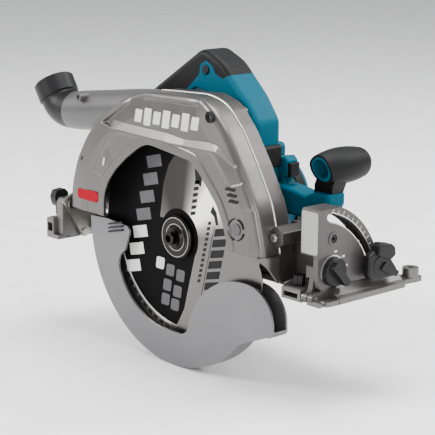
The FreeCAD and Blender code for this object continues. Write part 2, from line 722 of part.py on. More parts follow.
def motor_housing():
    tube = barrel(MOTOR_R, GEARBOX_Y, MOTOR_END_Y - 14)
    foot = slab_y(rounded([(50, 80), (66, 80), (74, 90), (74, 119), (38, 126),
                           (8, 110)], 4),
                  GEARBOX_Y, 88)
    horn = slab_y(rounded([(60, 82), (90, 82), (96, 90), (85, 102, 2), (92, 105, 2), (92, 122),
                           (87, 127), (60, 122)], 4),
                  HORN_Y0, HORN_Y1)
    horn = soften(horn, 3, in_plane_y(HORN_Y0))
    mount = slab_y(rounded([(MOUNT_REAR_X, MOUNT_Z0), (-30, MOUNT_Z0), (-18, 90), (30, 90),
                            (30, 128), (-40, MOUNT_Z1), (MOUNT_REAR_X + 4, MOUNT_Z1)], 6),
                   HANDLE_Y0 + 2, MOTOR_END_Y - 8)
    mount = mount.cut(gear_chamber(0, GEARBOX_Y))
    arm = slab_y(arm_outline(), ARM_Y0, ARM_Y1)
    arm = soften(arm, 4, lambda e: in_plane_y(ARM_Y0)(e) or in_plane_y(ARM_Y1)(e))
    body = fuse(tube, foot, horn, mount, arm)
    cavity = barrel(MOTOR_R - WALL, GEARBOX_Y + 4, MOTOR_END_Y)
    body = body.cut(cavity)
    body = body.cut(rod_y(17.0, GEARBOX_Y - 1, GEARBOX_Y + 8.6, 0, ARBOR_Z))
    body = body.cut(rod_y(36, GEARBOX_Y - 1, GEARBOX_Y + 5, MOTOR_X, MOTOR_Z))
    arm_hollow = slab_y(rounded([(78, 71), (118, 71), (147, 79), (152, 86), (152, 91),
                                 (136, 90), (124, 86), (78, 90)], 3), ARM_Y0 + 4, ARM_Y1 - 4)
    body = body.cut(arm_hollow)
    mount_hollow = box(-140, -34, HANDLE_Y0 + 8, MOTOR_END_Y - 14, MOUNT_Z0 + 6, MOUNT_Z1 - 3)
    body = body.cut(mount_hollow)
    # cooling slots in two rows round the rear of the barrel
    slot_count = 9
    for i in range(slot_count):
        for y in (88, 102):
            slot = box(MOTOR_X - MOTOR_R - 2, MOTOR_X - MOTOR_R + 6, y, y + 9,
                       MOTOR_Z - 1.2, MOTOR_Z + 1.2)
            slot.rotate(V(MOTOR_X, 0, MOTOR_Z), Y_AXIS, -52 + 13 * i - 20)
            body = body.cut(slot)
    body = body.cut(battery_slot())
    body = body.cut(barrel(MOTOR_R, MOTOR_END_Y - 14, MOTOR_END_Y))
    body = body.cut(ring_y(MOTOR_R + 2.6, MOTOR_R, MOTOR_END_Y - 22, MOTOR_END_Y, MOTOR_X,
                           MOTOR_Z))
    return largest(body)


def battery_slot():
    """Channel in the mount, shaped like a T, for the battery's head."""
    neck = box(-160, -42, 75.4, 112.6, MOUNT_Z0 - 1, MOUNT_Z0 + 2.2)
    return fuse(neck, box(-160, -42, 69.4, 118.6, MOUNT_Z0 + 2, MOUNT_Z0 + 4.5))


def motor_end_cap():
    cap = barrel(MOTOR_R, MOTOR_END_Y - 14, MOTOR_END_Y)
    cap = soften(cap, 6, in_plane_y(MOTOR_END_Y))
    cap = cap.cut(barrel(MOTOR_R - WALL, MOTOR_END_Y - 15, MOTOR_END_Y - 7))
    seat = ring_y(14, 11, MOTOR_END_Y - 15, MOTOR_END_Y - 6, MOTOR_X, MOTOR_Z)
    cap = fuse(cap, seat)
    for i in range(5):
        z = MOTOR_Z - 24 + 12 * i
        cap = cap.cut(box(MOTOR_X - 22, MOTOR_X + 22, MOTOR_END_Y - 5, MOTOR_END_Y + 1,
                          z - 1.6, z + 1.6))
    return cap


def motor_bumper():
    """Rubber band round the end cap's rim and rubber end of the housing's stub."""
    ring = ring_y(MOTOR_R + 2.5, MOTOR_R, MOTOR_END_Y - 22, MOTOR_END_Y - 8, MOTOR_X, MOTOR_Z)
    ring = bevel(ring, 1.2, lambda e: e.BoundBox.XLength > 2 * MOTOR_R + 4)
    stub = box(92, 96, HORN_Y0 + 0.5, HORN_Y1, 105, 120)
    stub = soften(stub, 1.8, in_plane_x(96))
    return group([ring, stub])


def handle_outline():
    """Outside of the closed handle, from the rear foot over the grip to the front spine."""
    return rounded([(-117, 100, 1), (-115, 166.5, 20), (-4, 238, 22), (28, 224, 45),
                    (64, 190, 45), (82, 166, 16), (82, 100, 1)], 1)


def hand_opening():
    return rounded([(-82, MOUNT_Z1 + 4), (-84, 150), (-66, 163), (-14, 193), (2, 190),
                    (20, 184), (40, 164), (44, 146), (36, 130), (-36, 128)], 9)


def handle_body():
    body = soften(slab_y(handle_outline(), HANDLE_Y0, HANDLE_Y1), 7,
                  lambda e: in_plane_y(HANDLE_Y0)(e) or in_plane_y(HANDLE_Y1)(e))
    hole = slab_y(hand_opening(), HANDLE_Y0 - 1, HANDLE_Y1 + 1)
    hole = hole.fuse(box(-92, 30, HANDLE_Y0 - 1, HANDLE_Y1 + 1, 90, MOUNT_Z1))
    body = body.cut(hole).cut(box(-150, 38, 0, 100, 90, MOUNT_Z1))
    edge = lambda e: in_plane_y(HANDLE_Y0)(e) or in_plane_y(HANDLE_Y1)(e)
    return soften(body, 3, lambda e: edge(e) and e.BoundBox.ZMin > MOUNT_Z1 + 1)


def handle_cavity():
    """Space inside the handle for the trigger switch and its leads."""
    switch_room = box(-14, 26, HANDLE_MID_Y - 11, HANDLE_MID_Y + 11, 186, 216)
    lead_way = slab_y([(20, 190), (20, 203), (52, 171), (58, 152), (58, 128), (50, 128),
                       (50, 150), (46, 164)],
                      HANDLE_MID_Y - 8, HANDLE_MID_Y + 8)
    return fuse(switch_room, lead_way)


def handle_shell(y0, y1):
    half = handle_body().common(box(-200, 200, y0, y1, 0, 300))
    half = half.cut(handle_cavity())
    half = half.cut(trigger_window()).cut(trigger_bore())
    half = half.cut(lock_off_bore())
    half = half.cut(gear_chamber(0, GEARBOX_Y))
    half = half.cut(handle_rubber_space())
    half = half.cut(motor_housing())
    half = half.cut(barrel(MOTOR_R, GEARBOX_Y, MOTOR_END_Y))
    return largest(half)


def handle_rubber_outline():
    return [(-84, 178), (-72, 207), (-30, 232), (-4, 244), (34, 230), (60, 206), (66, 194),
            (50, 214), (38, 211), (30, 207), (18, 211), (13, 219), (3, 224), (-6, 219),
            (-8, 208), (-28, 190), (-66, 168)]


def handle_rubber_space():
    """Skin of the grip that is soft rubber: 2.4 mm deep all round the bar."""
    depth = 2.4
    zone = slab_y(handle_rubber_outline(), HANDLE_Y0 - 1, HANDLE_Y1 + 1)
    core = inset_slab_y(handle_outline(), depth, HANDLE_Y0 + depth, HANDLE_Y1 - depth)
    return zone.cut(core)


def handle_rubber():
    """Overmoulded rubber: the skin of the grip and the pad on the front spine."""
    skin = handle_body().common(handle_rubber_space())
    skin = skin.cut(trigger_window()).cut(lock_off_bore(8.6))
    return group([largest(skin), handle_band()])


def trigger_window():
    return box(-13, 23, HANDLE_MID_Y - 8.6, HANDLE_MID_Y + 8.6, 176, 200)


def trigger_bore():
    return rod_y(2 + FIT, HANDLE_MID_Y - 11, HANDLE_MID_Y + 11, TRIGGER_X, TRIGGER_Z)


def trigger():
    """Rocker under the bar: turns about its front pin and lifts into the handle."""
    paddle = slab_y([(-11.5, 198), (-11.5, 187), ("arc", (-2, 178.5), (10, 181)),
                     ("arc", (16, 183), (21, 190)), (21, 198)],
                    HANDLE_MID_Y - 8, HANDLE_MID_Y + 8)
    trunnions = rod_y(2, HANDLE_MID_Y - 10.5, HANDLE_MID_Y + 10.5, TRIGGER_X, TRIGGER_Z)
    return fuse(paddle, trunnions)


def trigger_switch():
    case = box(-10, 14, HANDLE_MID_Y - 8, HANDLE_MID_Y + 8, 203.5, 208)
    plunger = box(-6, 0, HANDLE_MID_Y - 3, HANDLE_MID_Y + 3, 201.5, 203.5)
    return fuse(case, plunger)


def lock_off_bore(radius=7.2):
    return rod_y(radius, HANDLE_Y0 - 1, HANDLE_Y1 + 1, LOCK_X, LOCK_Z)


def lock_off_bush():
    """Teal ring round the lock-off button on each side of the handle."""
    rings = []
    for y0, y1 in ((HANDLE_Y0 + 0.2, HANDLE_Y0 + 5), (HANDLE_Y1 - 5, HANDLE_Y1 - 0.2)):
        rings.append(ring_y(7.1, 5.4, y0, y1, LOCK_X, LOCK_Z))
    return group(rings)


def lock_off_button():
    """Cross bolt: pushed from either side before the trigger can be squeezed."""
    body = rod_y(5, HANDLE_Y0 - 1.5, HANDLE_Y1 + 1.5, LOCK_X, LOCK_Z)
    body = soften(body, 1, lambda e: e.Curve.TypeId == "Part::GeomCircle")
    return body


def handle_band():
    """Rubber pad where the spine of the handle meets the motor housing."""
    pad = slab_y(rounded([(74, 116), (86, 116), (86.5, 137), (84, 140), (74, 140)], 2),
                 HANDLE_Y0 + 2, HORN_Y0 - 4)
    return largest(pad.cut(handle_body()))


def handle_screws():
    """Screws that hold the two halves of the handle, driven from the motor side."""
    screws = []
    for x, z in handle_screw_places():
        head = rod_y(3.4, HANDLE_Y1 - 3.5, HANDLE_Y1 - 1.5, x, z)
        head = head.cut(slab_y(hexagon(3, x, z), HANDLE_Y1 - 2.5, HANDLE_Y1))
        screws.append(fuse(head, rod_y(1.8, HANDLE_MID_Y - 8, HANDLE_Y1 - 3.5, x, z)))
    return group(screws)


def handle_screw_places():
    return [(-98, 140), (-97, 166), (56, 181), (68, 150)]


def cut_screw_holes(shape):
    for x, z in handle_screw_places():
        shape = shape.cut(rod_y(3.4, HANDLE_Y1 - 3.5, HANDLE_Y1 + 2, x, z))
        shape = shape.cut(rod_y(1.8, HANDLE_MID_Y - 8, HANDLE_Y1, x, z))
    return shape


def front_grip_profile(extra, y0, y1):
    """Egg-shaped grip: widest near the middle, tapering to a rounded free end."""
    def ring_at(y, radius):
        return V(GRIP_X, y, GRIP_Z + radius + extra)

    start = ring_at(y0, 15.0)
    belly = ring_at(98, GRIP_R)
    shoulder = ring_at(y1 - 9, 16.2)
    nose = ring_at(y1, 5.5)
    swell = Part.Arc(start, belly, shoulder).toShape()
    tip = Part.Arc(shoulder, ring_at(y1 - 3.2, 12.2), nose).toShape()
    foot = V(GRIP_X, y0, GRIP_Z)
    head = V(GRIP_X, y1, GRIP_Z)
    edges = [Part.makeLine(foot, start), swell, tip, Part.makeLine(nose, head),
             Part.makeLine(head, foot)]
    face = Part.Face(Part.Wire(edges))
    return face.revolve(foot, Y_AXIS, 360)


def grip_end_cut():
    """Wedge that cuts the grip's blade-side end obliquely."""
    return slab_y([(100, 160), (200, 160), (200, 90), (100, 90)], 0, GRIP_Y0 + 18).cut(
        rotated_half_space())


def rotated_half_space():
    block = box(90, 210, 0, 100, -60, 60)
    block.rotate(V(GRIP_X, 0, 0), X_AXIS, 22)
    block.translate(V(0, GRIP_Y0 + 2, GRIP_Z))
    return block


def grip_neck(inset):
    """Neck between the arm and the grip."""
    neck = slab_y(rounded([(126 + inset, 84), (152 - inset, 84), (163 - inset, 112),
                           (160, 126), (140, 126), (137 + inset, 112)], 2),
                  ARM_Y0 + 4 + inset, ARM_Y1 - 3 - inset)
    return neck.cut(slab_y(arm_outline(), ARM_Y0, ARM_Y1))


def front_grip_core():
    tube = front_grip_profile(-3, GRIP_Y0, GRIP_Y1 - 3)
    core = fuse(tube, largest(grip_neck(3))).cut(grip_end_cut())
    hollow = rod_y(10.5, GRIP_Y0 - 1, GRIP_Y0 + 30, GRIP_X, GRIP_Z)
    return core.cut(hollow)


def front_grip_rubber():
    sleeve = front_grip_profile(0, GRIP_Y0, GRIP_Y1)
    sleeve = fuse(sleeve, largest(grip_neck(0))).cut(grip_end_cut())
    sleeve = sleeve.cut(front_grip_core())
    sleeve = sleeve.cut(rod_y(10.5, GRIP_Y0 - 1, GRIP_Y0 + 30, GRIP_X, GRIP_Z))
    return largest(sleeve)


# Battery and electrics ------------------------------------------------------------------


def battery_case():
    body = box(BATTERY_X0, BATTERY_X1, BATTERY_Y0, BATTERY_Y1, BATTERY_Z0, BATTERY_Z1)
    body = soften(body, 8, lambda e: abs(e.BoundBox.XLength) > 100)
    body = soften(body, 3, lambda e: in_plane_x(BATTERY_X0)(e) or in_plane_x(BATTERY_X1)(e))
    neck = box(BATTERY_X0 + 22, BATTERY_X1 - 8, 76, 112, BATTERY_Z1 - 6, BATTERY_Z1 + 3)
    head = box(BATTERY_X0 + 22, BATTERY_X1 - 8, 70, 118, BATTERY_Z1 + 2.9, BATTERY_Z1 + 4.6)
    body = fuse(body, neck, head)
    body = body.cut(box(BATTERY_X0 + 5, BATTERY_X1 - 5, BATTERY_Y0 + 4, BATTERY_Y1 - 4,
                        BATTERY_Z0 + 4, BATTERY_Z1 - 8))
    # contact slots in the head and the pocket of the release button
    for y in (80, 94, 108):
        body = body.cut(box(-70, BATTERY_X1, y - 1.2, y + 1.2, BATTERY_Z1 - 2, BATTERY_Z1 + 6))
    return body.cut(box(BATTERY_X0 - 1, BATTERY_X0 + 10, 80, 108, BATTERY_Z1 - 14,
                        BATTERY_Z1 + 4))


def battery_cells():
    """Ten lithium cells lying across the case in two layers."""
    cells = []
    radius = 10.4
    for i in range(5):
        for z in (BATTERY_Z0 + 5 + radius, BATTERY_Z0 + 6 + 3 * radius):
            x = BATTERY_X0 + 16 + radius + i * (2 * radius + 0.5) - 8
            cells.append(rod_y(radius, BATTERY_Y0 + 4.5, BATTERY_Y1 - 4.5, x, z))
    return group(cells)


def battery_button():
    """Release button on the battery's rear end, pressed down to unlatch."""
    body = box(BATTERY_X0 - 2, BATTERY_X0 + 8, 80.5, 107.5, BATTERY_Z1 - 11, BATTERY_Z1 + 0.1)
    body = bevel(body, 1.2, in_plane_x(BATTERY_X0 - 2))
    return body


def battery_terminal():
    """Contact block in the mount with three blades that enter the battery's slots."""
    block = box(-68, -44, 72, 116, BATTERY_Z1 + 5, BATTERY_Z1 + 7.5)
    blades = []
    for y in (80, 94, 108):
        blades.append(box(-66, -48, y - 0.5, y + 0.5, BATTERY_Z1 - 1, BATTERY_Z1 + 6))
    return fuse(block, *blades)


def control_board():
    """Motor controller in the battery mount."""
    board = box(-130, -74, 50, 116, 112.5, 114)
    caps = [rod_x(3, -120, -104, 60 + 14 * i, 117) for i in range(3)]
    tray = box(-132, -72, 48, 118, MOUNT_Z0 + 6, 112.5)
    return fuse(board, tray, *caps)


# Spindle lock ---------------------------------------------------------------------------


def shaft_lock():
    """Button behind the gear chamber that holds the spindle for a blade change."""
    head = rod_x(6, -43, -38, LOCK_PIN_Y, ARBOR_Z)
    head = bevel(head, 1.0, in_plane_x(-43.0))
    return fuse(head, rod_x(3, -38, -33.5, LOCK_PIN_Y, ARBOR_Z))


# Base -----------------------------------------------------------------------------------
def base_plan():
    """Sole plate seen from above; it is open to the right round the blade."""
    return [
        (BASE_REAR_X, -29), (-184, -29), (-184, 26), (-176, BASE_INNER_Y),
        (158, BASE_INNER_Y), (158, 0), (185, 0), (187, -1), (BASE_FRONT_X - 4, -1),
        (BASE_FRONT_X - 1, 11), (BASE_FRONT_X, 40), (BASE_FRONT_X, 124),
        ("arc", (212, 128), (210, 134)), (212, 156), ("arc", (206, 160), (200, 158)),
        (186, 138), (172, BASE_LEFT_Y), (BASE_REAR_X + 12, BASE_LEFT_Y),
        (BASE_REAR_X, BASE_LEFT_Y - 14),
    ]


def base_plate():
    plate = slab_z(base_plan(), 0, BASE_T)
    ribs = [
        box(-176, 158, BASE_INNER_Y, BASE_INNER_Y + 4, 0, 9),
        box(BASE_REAR_X + 12, 172, BASE_LEFT_Y - 4, BASE_LEFT_Y, 0, 11),
        box(BASE_REAR_X, BASE_REAR_X + 4, -20, BASE_LEFT_Y - 14, 0, 9),
        box(-120, -116, BASE_INNER_Y, BASE_LEFT_Y, 0, 8),
        box(-36, 36, BASE_INNER_Y, 64, 0, 9),
        box(80, 84, BASE_INNER_Y, BASE_LEFT_Y, 0, 8),
        box(158, 162, BASE_INNER_Y - 4, BASE_LEFT_Y, 0, 10),
    ]
    deck = slab_y([(176, 0), (176, 10), (182, 15), (203, 15), (212, 8), (BASE_FRONT_X, 6),
                   (BASE_FRONT_X, 0)], 24, BASE_LEFT_Y)
    deck = deck.cut(box(176, TILT_X1 + 1, 20, 130, 6, 20))
    fence_front = box(158, 185, 0, BASE_INNER_Y, 0, 13)
    fence_front = bevel(fence_front, 1.5, in_plane_z(13.0))
    fence_rear = box(BASE_REAR_X, -193, -29, 12, 0, 24)
    fence_rear = bevel(fence_rear, 1.5, in_plane_z(24.0))
    ear_boss = rod_z(9, 0, 15, 203, 148)
    plate = fuse(plate, deck, fence_front, fence_rear, ear_boss, *ribs)
    plate = plate.cut(rod_z(3.2, -1, 20, 203, 148))
    for slot in fence_slots():
        plate = plate.cut(slot)
    for x, y in fence_screw_places():
        plate = plate.cut(rod_z(3 + FIT, 5, 30, x, y))
    plate = plate.cut(rod_x(3 + FIT, 185, 230, BEVEL_Y, BEVEL_Z))
    plate = plate.cut(rod_x(3 + FIT, -191.5, -180, BEVEL_Y, BEVEL_Z))
    # sight notch over the cutting line
    plate = plate.cut(slab_z([(212, BEVEL_Y - 3), (230, BEVEL_Y - 8), (230, BEVEL_Y + 8),
                              (212, BEVEL_Y + 3)], -1, 20))
    # room for the lug of the tilting frame beside the bevel pin
    plate = plate.cut(box(TILT_X0 - 2, TILT_X1 + 0.8, -3, 20, -1, 30))
    plate = plate.cut(box(TILT_X0 - 2, QUADRANT_X1, 12, 118, 6, 30))
    # notch under the gear chamber
    plate = plate.cut(box(-32, 32, BASE_INNER_Y - 1, 60, -1, 20))
    plate = plate.cut(bevel_quadrant()).cut(rear_bracket())
    return plate.removeSplitter()


def fence_slots():
    """Through slots along Y for the bar of a rip fence, at the front and the rear."""
    return [box(161, 181, -5, 200, 3, 8), box(-204, -195, -40, 20, 8, 18)]


def fence_screw_places():
    return [(171, 14), (-199.5, -12)]


def fence_screw(x, y, seat_z):
    """Thumb screw that clamps a rip fence bar: knob with lobes and a threaded stem."""
    stem = rod_z(3, seat_z - 5, seat_z + 4, x, y)
    knob = rod_z(7, seat_z + 2, seat_z + 11, x, y)
    for i in range(6):
        px, py = polar(x, y, 7.6, 60 * i)
        knob = knob.cut(rod_z(1.9, seat_z, seat_z + 20, px, py))
    return fuse(stem, knob)


def rim_arc(radius, from_z):
    """Arc about the bevel axis from the height from_z down to 12 degrees."""
    top = math.degrees(math.asin((from_z - BEVEL_Z) / radius))
    low = 12.0
    return [polar(BEVEL_Y, BEVEL_Z, radius, top),
            ("arc", polar(BEVEL_Y, BEVEL_Z, radius, (top + low) / 2),
             polar(BEVEL_Y, BEVEL_Z, radius, low))]


def quadrant_rim_outline():
    """Outer edge of the front quadrant: flat on top, then an arc down to the sole."""
    outer = rim_arc(RIM_R, RIM_TOP_Z)
    low_y = outer[1][2][0]
    return [(6.5, 93), (9, RIM_TOP_Z)] + outer + [(low_y, 6), (20, 6), (10, 16), (6.5, 31)]


def bevel_quadrant():
    plate = slab_x(quadrant_rim_outline(), QUADRANT_X0, QUADRANT_X1)
    lug = rod_x(5.6, QUADRANT_X0, QUADRANT_X1, BEVEL_Y, BEVEL_Z)
    web = slab_x([(BEVEL_Y - 4, 2), (30, 6), (24, 14), (BEVEL_Y, 11.5)], QUADRANT_X0,
                 QUADRANT_X1)
    thick = slab_x(quadrant_rim_outline(), 178, QUADRANT_X1)
    inner = slab_x([(12, 40), (12, RIM_TOP_Z - 4.5)] + rim_arc(RIM_R - 4.5, RIM_TOP_Z - 4.5)
                   + [(130, -20), (12, -20)], 170, QUADRANT_X1)
    cheek = rod_x(RIM_R - 2, 182, 185, BEVEL_Y, BEVEL_Z)
    cheek = cheek.cut(rod_x(62, 181, 186, BEVEL_Y, BEVEL_Z))
    cheek = cheek.common(thick)
    rim = fuse(thick.cut(inner), cheek)
    taper = slab_z([(170, 68), (170, 200), (193, 200), (193, 98), (183, 80)], -20, 150)
    rim = rim.cut(taper).cut(box(170, 210, -5, 130, -20, 20))
    rim = rim.cut(slab_x([(0, 49), (40, 49), (60, 30), (60, 0), (0, 0)], 170, QUADRANT_X0))
    body = fuse(plate, lug, web, rim)
    body = body.cut(bevel_slot())
    knob_y, knob_z = STOP_KNOB
    screw_y, screw_z = BOSS_SCREW
    body = body.fuse(rod_x(7, QUADRANT_X1, QUADRANT_X1 + 0.8, screw_y, screw_z))
    body = body.cut(rod_x(4 + FIT, QUADRANT_X0 - 1, QUADRANT_X1 + 1, knob_y, knob_z))
    body = body.cut(rod_x(3 + FIT, QUADRANT_X0 - 1, QUADRANT_X1 + 1, BEVEL_Y, BEVEL_Z))
    body = body.cut(rod_x(4.5, QUADRANT_X1 - 3, QUADRANT_X1 + 1, screw_y, screw_z))
    body = body.cut(rod_x(2.05, QUADRANT_X0 - 1, QUADRANT_X1 + 1, screw_y, screw_z))
    return largest(body)


def bevel_slot():
    """Curved slot about the bevel axis, 60 degrees long plus the bolt."""
    width = 4.2
    a0 = math.degrees(BEVEL_REST)
    a1 = a0 + 60
    ring = rod_x(BEVEL_SLOT_R + width, 170, 210, BEVEL_Y, BEVEL_Z)
    ring = ring.cut(rod_x(BEVEL_SLOT_R - width, 160, 220, BEVEL_Y, BEVEL_Z))
    far = 400
    p0 = polar(BEVEL_Y, BEVEL_Z, far, a0)
    p1 = polar(BEVEL_Y, BEVEL_Z, far, a1)
    sector = slab_x([(BEVEL_Y, BEVEL_Z), p0, p1], 165, 215)
    ends = [rod_x(width, 165, 215, *polar(BEVEL_Y, BEVEL_Z, BEVEL_SLOT_R, a)) for a in (a0, a1)]
    return fuse(ring.common(sector), *ends)


def quadrant_screw():
    y, z = BOSS_SCREW
    head = rod_x(4.3, QUADRANT_X1 - 3, QUADRANT_X1 + 0.2, y, z)
    head = head.cut(slab_x(hexagon(3, y, z), QUADRANT_X1 - 1.8, QUADRANT_X1 + 1))
    return fuse(head, rod_x(2, QUADRANT_X0 + 0.2, QUADRANT_X1 - 3, y, z))


def bevel_stop_knob():
    """Dial with a pointer wing that sets the positive bevel stops."""
    y, z = STOP_KNOB
    dial = rod_x(15, QUADRANT_X1 + GAP, QUADRANT_X1 + 7, y, z)
    dial = bevel(dial, 1.2, in_plane_x(QUADRANT_X1 + 7))
    wing = slab_x(rounded([(y - 13, z - 4.5), (y + 16, z - 4), (y + 19, z), (y + 16, z + 4),
                           (y - 13, z + 4.5)], 1.5), QUADRANT_X1 + 5, QUADRANT_X1 + 13)
    wing.rotate(V(0, y, z), X_AXIS, -48)
    stem = rod_x(4, QUADRANT_X0 - 0.5, QUADRANT_X1 + GAP, y, z)
    return fuse(dial, wing, stem)


def tilt_plate_front():
    """Zinc-plated bracket between the front bevel pin and the depth pivot."""
    lug = rod_x(5.4, TILT_X0, TILT_X1, BEVEL_Y, BEVEL_Z)
    heart = slab_x([(BEVEL_Y, 1.2), (20, 7.5), (44, 12), (40, 28), (30, 36), (BEVEL_Y, 11)],
                   TILT_X0, TILT_X1)
    tab = box(181, TILT_X0, 12, 15, 24, 36)
    tab = fuse(tab, slab_x([(6, 9), (30, 20), (30, 34), (12, 36)], TILT_X0, TILT_X1))
    y_bolt, z_bolt = polar(BEVEL_Y, BEVEL_Z, BEVEL_SLOT_R, math.degrees(BEVEL_REST))
    wing = slab_x([(36, 12), (y_bolt, z_bolt - 6.2), (y_bolt, z_bolt + 6.2), (38, 22)], TILT_X0,
                  TILT_X1)
    end = rod_x(6.2, TILT_X0, TILT_X1, y_bolt, z_bolt)
    arm = slab_y([(TILT_X1, 14.4), (TILT_X1, 32), (180, 35), (171, 46), (164, 73), (142, 73),
                  (138, 50), (138, 10.5), (156, 10.5), (158, 14.4)],
                 RAIL_Y0, RAIL_Y1 + 1.5)
    body = fuse(lug, heart, tab, wing, end, arm)
    body = body.cut(rod_x(3 + FIT, TILT_X0 - 1, TILT_X1 + 1, BEVEL_Y, BEVEL_Z))
    body = body.cut(rod_x(3 + FIT, TILT_X0 - 1, TILT_X1 + 1, y_bolt, z_bolt))
    return body.cut(rod_y(4 + FIT, 20, 40, PIVOT_X, PIVOT_Z)).removeSplitter()


def rear_slot_radius():
    return math.hypot(REAR_BOLT[0] - BEVEL_Y, REAR_BOLT[1] - BEVEL_Z)


def tilt_plate_rear():
    """Rear sector with the curved slot in which the rear clamp bolt runs."""
    slot_r = rear_slot_radius()
    rest = math.degrees(math.atan2(REAR_BOLT[1] - BEVEL_Z, REAR_BOLT[0] - BEVEL_Y))
    outer_r = slot_r + 9
    start = polar(BEVEL_Y, BEVEL_Z, outer_r, rest + 9)
    middle = polar(BEVEL_Y, BEVEL_Z, outer_r, rest - 30)
    end = polar(BEVEL_Y, BEVEL_Z, outer_r, rest - 69)
    plate = slab_x([(BEVEL_Y - 4, 3), start, ("arc", middle, end), (36, 22), (36, 10),
                    (BEVEL_Y, 1.2)], REAR_TILT_X0, REAR_TILT_X1)
    plate = fuse(plate, rod_x(5.4, REAR_TILT_X0, REAR_TILT_X1, BEVEL_Y, BEVEL_Z))
    ring = rod_x(slot_r + 3.4, -190, -170, BEVEL_Y, BEVEL_Z)
    ring = ring.cut(rod_x(slot_r - 3.4, -195, -165, BEVEL_Y, BEVEL_Z))
    far = 400
    sector = slab_x([(BEVEL_Y, BEVEL_Z), polar(BEVEL_Y, BEVEL_Z, far, rest - 60),
                     polar(BEVEL_Y, BEVEL_Z, far, rest)], -192, -168)
    ends = [rod_x(3.4, -192, -168, *polar(BEVEL_Y, BEVEL_Z, slot_r, a))
            for a in (rest, rest - 60)]
    plate = plate.cut(fuse(ring.common(sector), *ends))
    return plate.cut(rod_x(3 + FIT, -192, -168, BEVEL_Y, BEVEL_Z)).removeSplitter()


def depth_guide():
    """Rail along the base's inner edge, cranked round the gear chamber, with the depth arc."""
    rail = box(REAR_TILT_X1, -44, RAIL_Y0, RAIL_Y1, 10.5, 21)
    crank = [
        box(-48, -44, RAIL_Y0, 65, 10.5, 16.5),
        box(-48, 64, 61, 65, 10.5, 16.5),
        box(60, 64, RAIL_Y0, 65, 10.5, 16.5),
        box(60, 138, RAIL_Y0, RAIL_Y1, 10.5, 21),
    ]
    rail_rear = box(REAR_TILT_X1, REAR_TILT_X1 + 4, 12, RAIL_Y1, 10.5, 21)
    outer_r = DEPTH_ARC_R + 9
    inner_r = DEPTH_ARC_R - 9
    arc_low = 180.0 + 12
    arc_high = 180.0 - DEPTH_RANGE - 2.6
    low_out = polar(PIVOT_X, PIVOT_Z, outer_r, arc_low)
    low_in = polar(PIVOT_X, PIVOT_Z, inner_r, arc_low)
    band = slab_y([
        low_out,
        ("arc", polar(PIVOT_X, PIVOT_Z, outer_r, (arc_low + arc_high) / 2),
         polar(PIVOT_X, PIVOT_Z, outer_r, arc_high)),
        polar(PIVOT_X, PIVOT_Z, inner_r, arc_high),
        ("arc", polar(PIVOT_X, PIVOT_Z, inner_r, (arc_low + arc_high) / 2), low_in),
        low_out,
    ], RAIL_Y0, RAIL_Y1)
    slot_low = 180.0
    slot_high = 180.0 - DEPTH_RANGE
    w = 4.2
    slot = slab_y([
        polar(PIVOT_X, PIVOT_Z, DEPTH_ARC_R + w, slot_low),
        ("arc", polar(PIVOT_X, PIVOT_Z, DEPTH_ARC_R + w, (slot_low + slot_high) / 2),
         polar(PIVOT_X, PIVOT_Z, DEPTH_ARC_R + w, slot_high)),
        polar(PIVOT_X, PIVOT_Z, DEPTH_ARC_R - w, slot_high),
        ("arc", polar(PIVOT_X, PIVOT_Z, DEPTH_ARC_R - w, (slot_low + slot_high) / 2),
         polar(PIVOT_X, PIVOT_Z, DEPTH_ARC_R - w, slot_low)),
        polar(PIVOT_X, PIVOT_Z, DEPTH_ARC_R + w, slot_low),
    ], RAIL_Y0 - 1, RAIL_Y1 + 1)
    for angle in (slot_low, slot_high):
        slot = slot.fuse(rod_y(w, RAIL_Y0 - 1, RAIL_Y1 + 1,
                               *polar(PIVOT_X, PIVOT_Z, DEPTH_ARC_R, angle)))
    return fuse(rail, rail_rear, band, *crank).cut(slot).removeSplitter()


def bevel_pins():
    """Front and rear pins of the bevel axis, pressed into the tilting plates."""
    front = rod_x(3, TILT_X0, QUADRANT_X1 + 1, BEVEL_Y, BEVEL_Z)
    front = fuse(front, rod_x(4.6, TILT_X0 - 1.5, TILT_X0, BEVEL_Y, BEVEL_Z))
    rear = rod_x(3, -191, REAR_TILT_X1, BEVEL_Y, BEVEL_Z)
    rear = fuse(rear, rod_x(4.6, REAR_TILT_X1, REAR_TILT_X1 + 1.5, BEVEL_Y, BEVEL_Z))
    return group([front, rear])


def bevel_bolt():
    """Carriage bolt of the front bevel clamp."""
    y, z = polar(BEVEL_Y, BEVEL_Z, BEVEL_SLOT_R, math.degrees(BEVEL_REST))
    head = rod_x(6, TILT_X0 - 3, TILT_X0, y, z)
    return fuse(head, rod_x(3, TILT_X0, QUADRANT_X1 + 12.8, y, z))


